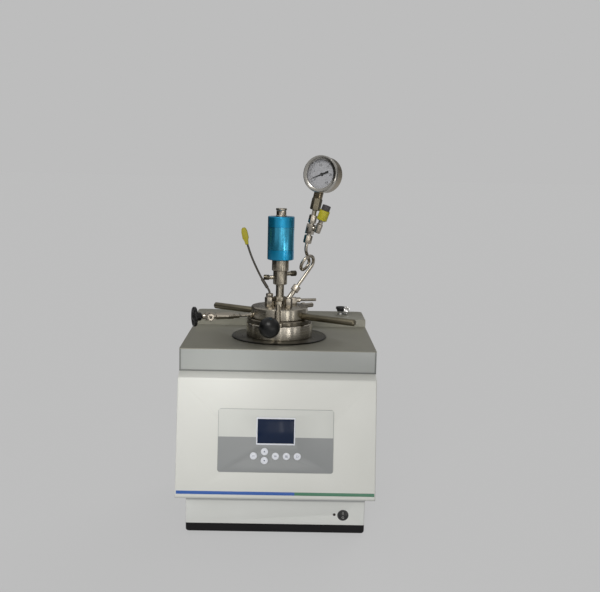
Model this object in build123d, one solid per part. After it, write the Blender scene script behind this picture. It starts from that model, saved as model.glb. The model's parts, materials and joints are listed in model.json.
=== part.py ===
from build123d import *

import math
import os

# Bench-top high-pressure reactor on a heating and control cabinet.
# Millimetres. +Z up, +X to the operator's right, -Y towards the operator.
# The origin is the middle of the footprint, at the underside of the feet.

# ---- cabinet ---------------------------------------------------------------------
cabinet_width = 360.0
cabinet_depth = 415.0
sheet = 1.5
foot_stand = 3.0
foot_radius = 14.0
foot_inset = 42.0
tray_height = 17.3
tray_width = 336.4
tray_wall = 3.0
tray_corner = 6.0
plinth_width = 336.0
plinth_height = 74.7
plinth_setback = 67.5
plinth_rear_gap = 10.0
hood_height = 218.0
ledge_run = 22.0
ledge_drop = 7.5
lip_setback = 63.5
lip_height = 42.0
rim_width = 12.0
hood_bend = 5.0
platform_depth = 105.5
platform_rise = 16.0
cover_bend = 2.0
cover_corner = 9.0
floor_opening = (250.0, 230.0)

# ---- rear panel and mains inlet --------------------------------------------------
panel_size = (300.0, 160.0)
panel_border = 8.0
louvre_size = (70.0, 3.0)
louvre_pitch = 11.0
louvre_rows = 8
louvre_columns = 2
louvre_gap = 30.0
inlet_inset = 45.0
inlet_rise = 52.0
inlet_flange = (50.0, 28.0)
inlet_body = (30.0, 22.0)
inlet_mouth = (24.6, 16.6)
inlet_depth = 17.0
inlet_pin = (2.0, 4.0, 11.0)
inlet_pin_gap = 7.0

# ---- operator panel on the leaning front -----------------------------------------
overlay_size = (208.0, 113.6)
overlay_corner = 5.0
overlay_thick = 0.8
overlay_centre = (-1.0, 104.2)
bezel_size = (70.0, 49.0)
bezel_thick = 1.7
screen_size = (65.5, 43.3)
screen_centre = (-1.2, 121.5)
screen_thick = 2.3
fit_gap = 0.3
module_depth = 8.0
board_size = (150.0, 96.0)
board_thick = 1.6
pillar_radius = 3.0
key_radius = 6.4
key_row = 77.0
key_pitch = 19.7
key_first = -40.5
key_split = 7.9
key_proud = 0.9
key_stem_radius = 2.6
key_travel = 0.5
switch_cube = 6.0

# ---- power switch and lamp on the plinth -----------------------------------------
rocker_x = 127.4
rocker_z = 39.4
rocker_radius = 8.2
rocker_gap = 0.4
barrel_wall = 1.0
barrel_depth = 12.0
rocker_rim = 1.4
rocker_proud = 2.2
rocker_back = 4.0
rocker_slope = 8.0
trunnion_radius = 1.2
lamp_x = 111.0
lamp_radius = 2.3

# ---- reactor place, heater and vessel --------------------------------------------
reactor_y = -10.0
trim_radius = 93.0
trim_thick = 2.0
deck_hole_radius = 88.0
can_radius = 85.0
can_depth = 125.0
block_radius = 54.0
block_depth = 104.0
block_floor = 6.0
heater_thick = 4.0
heater_height = 70.0
vessel_radius = 38.0
vessel_gap = 0.5
vessel_depth = 94.0
cavity_radius = 27.0
cavity_floor = 12.0
collar_radius = 64.5
collar_top = 29.2
seat_level = 7.0
gasket_thick = 1.5
gasket_radii = (30.0, 38.0)
plug_radius = 47.5
plug_thick = 6.0
spigot_length = 8.5
head_radius = 55.5
head_low = 38.1
head_shoulder = 60.3
head_top = 70.0
head_hub_radius = 12.8
neck_radius = 35.6

# ---- lock ring: six lugs under six teeth of the vessel collar --------------------
lug_count = 6
lug_angle = 25.0
slot_angle = 29.0
ring_gap = 0.4
ring_radius = 62.5
ring_thick = 8.1
skirt_radius = 50.0
lug_radius = 54.4
lug_height = 6.0
ear_azimuth = -95.0
ear_half_width = 13.0
ear_reach = 73.0
stud_azimuth = -92.6
stud_distance = 62.2
stud_radii = (6.0, 3.5)
stud_shoulder = 60.6
stud_top = 72.7
ball_azimuth = -97.4
ball_distance = 131.0
ball_level = 40.0
ball_radius = 19.4
ball_rod_radius = 4.8
bar_azimuth = -33.0
bar_level = 45.0
bar_radius = 6.4
bar_thread = 5.0
bar_reaches = (169.0, 160.0)
bar_socket = 8.0

# ---- stirrer and its magnetic drive ----------------------------------------------
shaft_radius = 4.0
shaft_bottom = -74.0
running_gap = 0.05
passage_radius = 5.0
neck_nut_flats = 22.0
neck_nut_height = 9.0
stem_radius = 8.0
jacket_radius = 13.75
jacket_low = 103.0
jacket_high = 130.0
jacket_wall = 1.8
nipple_radii = (5.15, 5.5)
nipple_azimuths = (180.0, 25.0)
nipple_levels = (116.0, 123.4)
nipple_reaches = (32.2, 33.9)
nipple_bore = 3.0
collar_drive_radius = 16.5
housing_radius = 25.8
housing_low = 151.4
housing_high = 235.3
housing_wall = 2.8
housing_end = 4.0
bush_length = 14.0
thrust_radius = 7.2
can_seat = 145.0
can_outer = 11.0
can_bore = 7.8
can_top = 192.0
magnet_radius = 7.3
magnet_height = 34.0
rotor_gap = 0.6
rotor_radius = 19.0
rotor_low = 157.0
rotor_plate = 4.0
motor_shaft_radius = 2.5
motor_height = 28.0
blade_count = 4
blade_size = (11.0, 1.6, 9.0)
hub_radius = 6.0
connector_radii = (9.6, 10.6)
connector_height = 15.5
connector_rim = 4.0

# ---- temperature probe -----------------------------------------------------------
probe_x = -20.0
probe_y = -10.0
probe_radius = 2.0
well_radius = 3.0
well_bottom = -66.0
gland_flats = 16.0
gland_heights = (9.0, 7.0)
plug_lean = -13.0
probe_bends = ((-18.4, 118.9), (-36.0, 156.0), (-45.0, 182.5))
probe_plug_size = (12.0, 8.0, 33.0)

# ---- needle valve and the two ports ----------------------------------------------
valve_azimuth = 197.3
valve_level = 43.8
valve_bore = 2.4
wheel_radius = 19.0
wheel_thick = 6.5
wheel_flutes = 10
wheel_distance = 169.0
hub_wheel_radius = 7.5
stem_valve_radius = 3.0
port_distance = 141.0
port_reach = 15.0
port_flats = 14.0
port_half = 8.0
spindle_root = 146.0
outlet_azimuth = 40.0
outlet_level = 55.0
outlet_radius = 4.6
outlet_reach = 86.0
sample_place = (27.0, 29.0)
sample_level = 68.0
sample_radius = 2.8
sample_reach = 46.0

# ---- pressure line, relief valve and gauge ---------------------------------------
line_y = -6.0
tube_radius = 3.175
adaptor_place = (17.0, -20.0)
adaptor_knee = 78.0
adaptor_end = (34.0, -12.0, 101.5)
adaptor_flats = 14.0
adaptor_nut_flats = 15.0
riser_x = 52.8
riser_level = 195.4
riser_lean = 12.0
loop_centre = (51.0, 146.5)
loop_radius = 15.6
loop_lean = 26.0
loop_yaw = 57.0
loop_pitch = 9.0
tee_side = 13.0
branch_turn = -28.0
branch_length = 9.0
line_nut_low = 29.0
line_nut_high = 45.0
line_top = 54.0
relief_distance = 16.5
relief_rise = 22.4
relief_lean = 8.0
relief_radius = 6.2
relief_band_radius = 10.0
gauge_turn = -28.0
gauge_radius = 35.4
gauge_depth = 32.0
gauge_rise = 124.3
gauge_wall = 1.6
bezel_width = 7.4
gauge_stem = (14.5, 14.5, 12.5)
gauge_foot = 78.0
dial_thick = 0.8
glass_thick = 1.6
spindle_radius = 1.2
pointer_long = 23.0
pointer_tail = 14.0
pointer_rest = 32.0

# ---- socket on the rear platform -------------------------------------------------
socket_inset = 49.0
socket_setback = 37.5
socket_radii = (6.0, 10.0)
socket_height = 16.0
cap_ring_radius = 6.5
cap_place = (12.0, -12.5, 12.5)

# ---- places that follow ----------------------------------------------------------
tray_low = foot_stand
plinth_low = tray_low + tray_height
hood_low = plinth_low + plinth_height
lip_low = hood_low + hood_height
deck_level = lip_low + lip_height
front_low_y = -cabinet_depth / 2
lip_y = front_low_y + lip_setback
ledge_y = lip_y - ledge_run
rear_y = cabinet_depth / 2
step_y = rear_y - platform_depth
plinth_front_y = front_low_y + plinth_setback
plinth_rear_y = rear_y - plinth_rear_gap
platform_level = deck_level + platform_rise
inlet_x = inlet_inset - panel_size[0] / 2
socket_x = cabinet_width / 2 - socket_inset
socket_y = rear_y - socket_setback
DECK = Pos(0, reactor_y, deck_level)
UP = (Align.CENTER, Align.CENTER, Align.MIN)

slope = Vector(0, ledge_y - front_low_y, lip_low - ledge_drop - hood_low)
FRONT = Plane(
    origin=(0, front_low_y, hood_low),
    x_dir=(1, 0, 0),
    z_dir=(0, -slope.Z, slope.Y),
)
RISER = DECK * Pos(riser_x, line_y, riser_level) * Rot(0, riser_lean, 0)
GAUGE = RISER * Pos(0, 0, gauge_rise) * Rot(0, 0, gauge_turn)


def keep(node, *solids):
    """Write one piece, or one group of like pieces, as a node of its own."""
    parts = [solid for shape in solids for solid in shape.solids()]
    export_step(Compound(children=parts), f"parts/{node}.step")


def turned(*points):
    """Solid turned about Z from its half section, given as radius and height pairs."""
    section = make_face(Polyline(*[(r, 0, z) for r, z in points], close=True))
    return revolve(section, Axis.Z)


def rod(radius, low, high):
    """Plain cylinder on Z between two levels."""
    return Pos(0, 0, low) * Cylinder(radius, high - low, align=UP)


def tube(radius, bore, low, high):
    """Plain tube on Z between two levels."""
    return turned((bore, low), (radius, low), (radius, high), (bore, high))


def hexagon(flats, low, high):
    """Hexagon bar on Z with its corners turned off at both ends, as a nut has."""
    bar = extrude(Pos(0, 0, low) * RegularPolygon(flats / 2, 6, major_radius=False), high - low)
    corner = flats / math.sqrt(3)
    cut = corner - flats / 2
    waist = turned(
        (0, low), (flats / 2, low), (corner, low + cut), (corner, high - cut), (flats / 2, high), (0, high)
    )
    return bar & waist


def radial(azimuth, level):
    """Place whose Z runs level, away from the reactor's axis."""
    return DECK * Rot(0, 0, azimuth) * Pos(0, 0, level) * Rot(0, 90, 0)


def bent(points):
    """Straight runs joined by arcs, each as large as its two runs allow."""
    spots = [Vector(*point) for point in points]
    radii = []
    for before, corner, after in zip(spots, spots[1:], spots[2:]):
        turn = (corner - before).get_angle(after - corner)
        shorter = min((corner - before).length, (after - corner).length)
        radii.append(0.45 * shorter / math.tan(math.radians(turn) / 2))
    return FilletPolyline(*spots, radius=radii)


def pipe(path, radius):
    """Round bar swept along a path."""
    start = Plane(origin=path @ 0, z_dir=path % 0)
    return sweep(start * Circle(radius), path=path)


# ---- cabinet ---------------------------------------------------------------------
def make_base():
    """Black tray with rounded edges, on four rubber feet."""
    depth = plinth_rear_y - plinth_front_y
    middle = (plinth_rear_y + plinth_front_y) / 2
    tray = Pos(0, middle, tray_low) * Box(tray_width, depth, tray_height, align=UP)
    tray = fillet(tray.edges().filter_by(Axis.Z), tray_corner)
    tray = fillet(tray.faces().sort_by(Axis.Z)[0].edges(), tray_corner - 1)
    hollow = Box(tray_width - 2 * tray_wall, depth - 2 * tray_wall, tray_height, align=UP)
    tray -= Pos(0, middle, tray_low + tray_wall) * hollow
    keep("base_tray", tray)
    feet = []
    for x in (-1, 1):
        for y in (-1, 1):
            foot = rod(foot_radius, 1, foot_stand) + rod(foot_radius - 1, 0, 1)
            feet.append(Pos(x * (tray_width / 2 - foot_inset), middle + y * (depth / 2 - foot_inset)) * foot)
    keep("rubber_feet", *feet)


def make_plinth():
    """Folded sheet between tray and hood, open below and above, with the switch and lamp holes."""
    depth = plinth_rear_y - plinth_front_y
    middle = (plinth_rear_y + plinth_front_y) / 2
    wall = Pos(0, middle, plinth_low) * Box(plinth_width, depth, plinth_height, align=UP)
    wall = fillet(wall.edges().filter_by(Axis.Z), 2 * sheet)
    inner = Box(plinth_width - 2 * sheet, depth - 2 * sheet, plinth_height, align=UP)
    inner = fillet(inner.edges().filter_by(Axis.Z), sheet)
    wall -= Pos(0, middle, plinth_low) * inner
    out = Rot(90, 0, 0)
    barrel = rocker_radius + rocker_gap + barrel_wall
    wall -= Pos(rocker_x, plinth_front_y, rocker_z) * out * Cylinder(barrel, 20)
    wall -= Pos(lamp_x, plinth_front_y, rocker_z + 1) * out * Cylinder(lamp_radius, 20)
    keep("plinth_shell", wall)


def make_hood():
    """White folded housing: leaning front, bent ledge under the cover, flanged rim and floor."""
    outline = [
        (front_low_y, hood_low),
        (ledge_y, lip_low - ledge_drop),
        (lip_y, lip_low),
        (rear_y, lip_low),
        (rear_y, hood_low),
    ]
    section = make_face(Polyline(*[(0, y, z) for y, z in outline], close=True))
    ledge = section.vertices().sort_by(Axis.Y)[1]
    section = fillet(ledge, hood_bend)
    half = cabinet_width / 2
    outer = extrude(section, half, both=True)
    inner = extrude(offset(section, -sheet, kind=Kind.INTERSECTION), half - sheet, both=True)
    front = outer.faces().filter_by(lambda face: face.normal_at().dot(FRONT.z_dir) > 0.999)[0]
    outer = fillet(front.edges().filter_by(Axis.X, reverse=True), 2 * sheet)
    shell = outer - inner
    rim = Box(cabinet_width - 2 * rim_width, rear_y - lip_y - 2 * rim_width, 4 * sheet)
    shell -= Pos(0, (rear_y + lip_y) / 2, lip_low) * rim
    shell -= Pos(0, (plinth_rear_y + plinth_front_y) / 2, hood_low) * Box(*floor_opening, 4 * sheet)
    window = Box(screen_size[0] + 2 * fit_gap, screen_size[1] + 2 * fit_gap, 8 * sheet)
    shell -= FRONT * Pos(*screen_centre, 0) * window
    for u, v in key_places():
        shell -= FRONT * Pos(u, v, 0) * Cylinder(key_stem_radius + 2 * fit_gap, 8 * sheet)
    back = Box(panel_size[0] - 2 * panel_border, 8 * sheet, panel_size[1] - 2 * panel_border)
    shell -= Pos(0, rear_y, (lip_low + hood_low) / 2) * back
    keep("cabinet_shell", shell)


def make_cover():
    """Grey folded top cover: lip all round, hole for the heater, raised platform at the rear."""
    outline = [
        (lip_y, lip_low),
        (lip_y, deck_level),
        (step_y, deck_level),
        (step_y, platform_level),
        (rear_y, platform_level),
        (rear_y, lip_low),
    ]
    section = make_face(Polyline(*[(0, y, z) for y, z in outline], close=True))
    half = cabinet_width / 2
    cover = extrude(section, half, both=True)
    inner = extrude(offset(section, -sheet, kind=Kind.INTERSECTION), half - sheet, both=True)
    inner += Pos(0, (rear_y + lip_y) / 2, lip_low) * Box(
        cabinet_width - 2 * sheet, rear_y - lip_y - 2 * sheet, 3 * sheet
    )
    inner = fillet(inner.edges().filter_by(Axis.Z).group_by(Axis.Y)[-1], cover_corner - sheet)
    cover = fillet(cover.edges().filter_by(Axis.Z).group_by(Axis.Y)[-1], cover_corner)
    cover = fillet(cover.faces().sort_by(Axis.Z)[-1].edges().sort_by(Axis.Y)[1:], cover_bend)
    front_top = cover.edges().filter_by(Axis.X).filter_by_position(Axis.Y, lip_y - 1, lip_y + 1)
    cover = fillet(front_top.sort_by(Axis.Z)[-1], cover_bend)
    cover -= inner
    cover -= Pos(0, reactor_y, deck_level) * Cylinder(deck_hole_radius, 8 * sheet)
    keep("top_cover", cover)


def make_rear():
    """Vented rear panel behind the opening of the housing, and the mains inlet in it."""
    face_y = rear_y - sheet
    middle = (lip_low + hood_low) / 2
    panel = Pos(0, face_y - sheet / 2, middle) * Box(panel_size[0], sheet, panel_size[1])
    for column in range(louvre_columns):
        for row in range(louvre_rows):
            x = (column - 0.1) * (louvre_size[0] + louvre_gap)
            z = middle + (row - (louvre_rows - 1) / 2) * louvre_pitch
            panel -= Pos(x, face_y, z) * Box(louvre_size[0], 4 * sheet, louvre_size[1])
    mouth_z = hood_low + inlet_rise
    panel -= Pos(inlet_x, face_y, mouth_z) * Box(inlet_body[0], 4 * sheet, inlet_body[1])
    keep("rear_panel", panel)
    inlet = Pos(inlet_x, face_y + sheet / 2, mouth_z) * Box(inlet_flange[0], sheet, inlet_flange[1])
    body_depth = inlet_depth + 2 * sheet
    inlet += Pos(inlet_x, rear_y - body_depth / 2, mouth_z) * Box(inlet_body[0], body_depth, inlet_body[1])
    mouth = Box(inlet_mouth[0], inlet_depth, inlet_mouth[1])
    inlet -= Pos(inlet_x, rear_y - inlet_depth / 2, mouth_z) * mouth
    blade = Box(*inlet_pin[:2], inlet_pin[2])
    for x, z in ((-inlet_pin_gap, -2.0), (0.0, 2.0), (inlet_pin_gap, -2.0)):
        place = Pos(inlet_x + x, rear_y - inlet_depth + inlet_pin[2] / 2, mouth_z + z)
        inlet += place * Rot(90, 0, 0) * blade
    keep("power_inlet", inlet)


def key_places():
    """Middles of the six keys on the leaning front: one row, with a pair of arrows in it."""
    places = [(key_first, key_row)]
    places += [(key_first + key_pitch, key_row + key_split), (key_first + key_pitch, key_row - key_split)]
    places += [(key_first + n * key_pitch, key_row) for n in (2, 3, 4)]
    return places


def make_panel():
    """Keypad overlay, display and keys on the leaning front, with their board behind it."""
    overlay = extrude(RectangleRounded(*overlay_size, overlay_corner), overlay_thick)
    overlay = Pos(*overlay_centre, 0) * overlay
    window = Box(bezel_size[0] + fit_gap, bezel_size[1] + fit_gap, 4 * overlay_thick)
    overlay -= Pos(*screen_centre, 0) * window
    for u, v in key_places():
        overlay -= Pos(u, v, 0) * Cylinder(key_radius + fit_gap, 4 * overlay_thick)
    keep("keypad_overlay", FRONT * overlay)

    bezel = extrude(RectangleRounded(*bezel_size, 1.5), bezel_thick)
    bezel -= Box(screen_size[0] + fit_gap, screen_size[1] + fit_gap, 4 * bezel_thick)
    keep("display_bezel", FRONT * Pos(*screen_centre, 0) * bezel)
    screen = Pos(*screen_centre, -sheet) * Box(*screen_size, screen_thick, align=UP)
    keep("display_screen", FRONT * screen)

    board_face = -sheet - module_depth
    board = Pos(*overlay_centre, board_face - board_thick) * Box(*board_size, board_thick, align=UP)
    board += Pos(*screen_centre, board_face) * Box(*bezel_size, module_depth, align=UP)
    stem_low = board_face + switch_cube - 2.0
    for u, v in key_places():
        board += Pos(u, v, board_face) * Box(switch_cube, switch_cube, stem_low - board_face, align=UP)
    for x in (-1, 1):
        for y in (-1, 1):
            u = overlay_centre[0] + x * (board_size[0] / 2 - 5)
            v = overlay_centre[1] + y * (board_size[1] / 2 - 5)
            board += Pos(u, v, 0) * rod(pillar_radius, board_face, -sheet)
    keep("control_board", FRONT * board)

    for number, (u, v) in enumerate(key_places(), 1):
        cap_top = overlay_thick + key_proud
        cap_low = key_travel + 0.1
        key = turned(
            (0, stem_low + key_travel + 0.1),
            (key_stem_radius, stem_low + key_travel + 0.1),
            (key_stem_radius, cap_low),
            (key_radius, cap_low),
            (key_radius, cap_top - 0.4),
            (key_radius - 0.6, cap_top),
            (0, cap_top),
        )
        keep(f"key_{number}", FRONT * Pos(u, v, 0) * key)


def make_switch():
    """Round rocker switch and lamp in the front of the plinth."""
    place = Pos(rocker_x, plinth_front_y, rocker_z) * Rot(90, 0, 0)
    bore = rocker_radius + rocker_gap
    bezel = turned(
        (bore, -barrel_depth + 1.5),
        (bore, rocker_rim),
        (bore + 0.8, rocker_rim),
        (bore + 2.0, 0),
        (bore + barrel_wall, 0),
        (bore + barrel_wall, -barrel_depth),
        (0, -barrel_depth),
        (0, -barrel_depth + 1.5),
    )
    bezel -= Rot(0, 90, 0) * Cylinder(trunnion_radius + running_gap, 2 * bore + barrel_wall)
    keep("switch_bezel", place * bezel)
    ball = Sphere(rocker_radius)
    slab = Pos(0, 0, -rocker_back) * Box(40, 40, rocker_back + rocker_proud, align=UP)
    rocker = ball & slab
    wedge = Pos(0, 0, rocker_proud) * Rot(rocker_slope, 0, 0) * Pos(0, -20, 0) * Box(40, 40, 8, align=UP)
    rocker -= wedge
    rocker -= mirror(wedge, Plane.XZ)
    rocker += Rot(0, 90, 0) * Cylinder(trunnion_radius, 2 * bore + barrel_wall - 0.4)
    keep("switch_rocker", place * Rot(-rocker_slope, 0, 0) * rocker)
    lamp = turned(
        (0, -8), (lamp_radius - 0.1, -8), (lamp_radius - 0.1, 0), (lamp_radius + 0.5, 0),
        (lamp_radius - 0.3, 1.2), (0, 1.6),
    )
    keep("power_led", Pos(lamp_x, plinth_front_y, rocker_z + 1) * Rot(90, 0, 0) * lamp)


# ---- heater and vessel -----------------------------------------------------------
def make_heater():
    """Flanged can hanging in the cover, insulation, band heater and the block round the vessel."""
    bore = vessel_radius + vessel_gap
    can = turned(
        (0, -can_depth),
        (can_radius, -can_depth),
        (can_radius, 0),
        (trim_radius, 0),
        (trim_radius, trim_thick - 0.8),
        (trim_radius - 0.8, trim_thick),
        (bore, trim_thick),
        (bore, 0),
        (can_radius - sheet, 0),
        (can_radius - sheet, -can_depth + sheet),
        (0, -can_depth + sheet),
    )
    keep("heater_can", DECK * can)
    block = turned(
        (0, -block_depth),
        (block_radius, -block_depth),
        (block_radius, 0),
        (bore, 0),
        (bore, -block_depth + block_floor),
        (0, -block_depth + block_floor),
    )
    keep("heater_block", DECK * block)
    band_radius = block_radius + heater_thick
    band_low = -(block_depth + heater_height) / 2
    band = tube(band_radius, block_radius, band_low, band_low + heater_height)
    band -= Pos(-block_radius, 0, band_low) * Box(4 * heater_thick, 3.0, heater_height, align=UP)
    keep("band_heater", DECK * band)
    wool = turned(
        (0, -can_depth + sheet),
        (can_radius - sheet, -can_depth + sheet),
        (can_radius - sheet, -1),
        (band_radius, -1),
        (band_radius, -block_depth),
        (0, -block_depth),
    )
    keep("insulation", DECK * wool)


def sector(inner, outer, low, high, angle):
    """Block of a ring, centred on +X, over the given angle."""
    corners = [(inner, 0, low), (outer, 0, low), (outer, 0, high), (inner, 0, high)]
    return Rot(0, 0, -angle / 2) * revolve(make_face(Polyline(*corners, close=True)), Axis.Z, angle)


def make_vessel():
    """Vessel with its collar: the collar's bore has teeth that the lock ring's lugs go under."""
    skirt_bore = skirt_radius + ring_gap
    lug_bore = lug_radius + ring_gap
    plug_top = seat_level + gasket_thick + plug_thick
    lug_top = plug_top + ring_gap + lug_height
    seat = plug_radius + ring_gap
    body = turned(
        (0, -vessel_depth),
        (vessel_radius - 3, -vessel_depth),
        (vessel_radius, -vessel_depth + 3),
        (vessel_radius, trim_thick),
        (collar_radius - 1, trim_thick),
        (collar_radius, trim_thick + 1),
        (collar_radius, collar_top - 1.2),
        (collar_radius - 1.2, collar_top),
        (skirt_bore, collar_top),
        (skirt_bore, lug_top + ring_gap),
        (lug_bore, lug_top + ring_gap),
        (lug_bore, plug_top),
        (seat, plug_top),
        (seat, seat_level),
        (cavity_radius, seat_level),
        (cavity_radius, -vessel_depth + cavity_floor + 6),
        (cavity_radius - 6, -vessel_depth + cavity_floor),
        (0, -vessel_depth + cavity_floor),
    )
    slot = sector(skirt_radius - 2, lug_bore, plug_top, collar_top + 1, slot_angle)
    for number in range(lug_count):
        body -= Rot(0, 0, (number + 0.5) * 360 / lug_count) * slot
    keep("vessel", DECK * body)

    keep("head_gasket", DECK * tube(gasket_radii[1], gasket_radii[0], seat_level, seat_level + gasket_thick))
    plug_low = plug_top - plug_thick
    spigot_low = plug_low - spigot_length
    plug = turned(
        (passage_radius, spigot_low),
        (cavity_radius - ring_gap, spigot_low),
        (cavity_radius - ring_gap, plug_low),
        (plug_radius, plug_low),
        (plug_radius, plug_top),
        (passage_radius, plug_top),
    )
    plug -= Pos(probe_x, probe_y) * rod(well_radius, spigot_low - 1, plug_top + 1)
    keep("head_plug", DECK * plug)

    head = turned(
        (passage_radius, plug_top),
        (neck_radius, plug_top),
        (neck_radius, head_low),
        (head_radius - 1, head_low),
        (head_radius, head_low + 1),
        (head_radius, head_shoulder - 1.5),
        (head_radius - 1.5, head_shoulder),
        (head_hub_radius, head_shoulder),
        (head_hub_radius, head_top),
        (passage_radius, head_top),
    )
    head -= Pos(probe_x, probe_y) * rod(well_radius, plug_top - 1, head_shoulder + 1)
    world = DECK * head
    for azimuth in (bar_azimuth, bar_azimuth + 180):
        world -= radial(azimuth, bar_level) * rod(bar_thread, head_radius - bar_socket, head_radius + 5)
    world -= radial(valve_azimuth, valve_level) * rod(4.0, head_radius - bar_socket, head_radius + 5)
    world -= radial(outlet_azimuth, outlet_level) * rod(3.6, head_radius - bar_socket, head_radius + 5)
    keep("head", world)


def make_lock_ring():
    """Lock ring with six lugs, an ear, a locating stud and a lever with a ball knob."""
    low = collar_top + ring_gap
    high = low + ring_thick
    plug_top = seat_level + gasket_thick + plug_thick
    bore = neck_radius + ring_gap
    ring = turned(
        (bore, plug_top + ring_gap),
        (skirt_radius, plug_top + ring_gap),
        (skirt_radius, low),
        (ring_radius - 0.8, low),
        (ring_radius, low + 0.8),
        (ring_radius, high - 0.8),
        (ring_radius - 0.8, high),
        (bore, high),
    )
    lug_low = plug_top + ring_gap
    lug = sector(skirt_radius - 2, lug_radius, lug_low, lug_low + lug_height, lug_angle)
    for number in range(lug_count):
        ring += Rot(0, 0, number * 360 / lug_count) * lug
    ear_length = ear_reach - ring_radius + 8
    ear = Pos(ear_reach - ear_length / 2, 0, low) * Box(ear_length, 2 * ear_half_width, ring_thick, align=UP)
    ear = fillet(ear.edges().filter_by(Axis.Z).sort_by(Axis.X)[-2:], 5)
    ring += Rot(0, 0, ear_azimuth) * ear
    ring += Rot(0, 0, stud_azimuth) * Pos(stud_distance, 0, 0) * turned(
        (0, high - 1),
        (stud_radii[0], high - 1),
        (stud_radii[0], stud_shoulder - 0.8),
        (stud_radii[0] - 0.8, stud_shoulder),
        (stud_radii[1], stud_shoulder),
        (stud_radii[1], stud_top - 1),
        (stud_radii[1] - 1, stud_top),
        (0, stud_top),
    )
    root_level = low + ring_thick / 2
    rise = math.degrees(math.atan2(ball_level - root_level, ball_distance - ear_reach))
    lever_place = Rot(0, 0, ball_azimuth) * Pos(ear_reach, 0, root_level) * Rot(0, 90 - rise, 0)
    reach = math.hypot(ball_distance - ear_reach, ball_level - root_level)
    thread = 7.0
    rod_end = reach - ball_radius * 0.4
    ring -= lever_place * rod(ball_rod_radius - 0.8, -thread, 3)
    keep("lock_ring", DECK * ring)
    lever = turned(
        (0, -thread),
        (ball_rod_radius - 0.8, -thread),
        (ball_rod_radius - 0.8, 1.0),
        (ball_rod_radius + 1.6, 1.0),
        (ball_rod_radius + 1.6, 6),
        (ball_rod_radius, 6),
        (ball_rod_radius, rod_end),
        (0, rod_end),
    )
    keep("ball_lever", DECK * lever_place * lever)
    flat = ball_radius * 0.92
    knob = Pos(0, 0, reach) * Sphere(ball_radius)
    knob -= Pos(0, 0, reach - flat) * Box(40, 40, 20, align=(Align.CENTER, Align.CENTER, Align.MAX))
    knob -= rod(ball_rod_radius, 0, rod_end)
    keep("ball_knob", DECK * lever_place * knob)


def make_bars():
    """Two round bars opposite each other in the head, for steadying and lifting it."""
    bars = []
    for azimuth, reach in zip((bar_azimuth, bar_azimuth + 180), bar_reaches):
        bar = turned(
            (0, head_radius - bar_socket),
            (bar_thread, head_radius - bar_socket),
            (bar_thread, head_radius),
            (bar_radius, head_radius),
            (bar_radius, reach - 2.5),
            (bar_radius - 2.5, reach),
            (0, reach),
        )
        bars.append(radial(azimuth, bar_level) * bar)
    keep("lever_bars", *bars)


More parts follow.
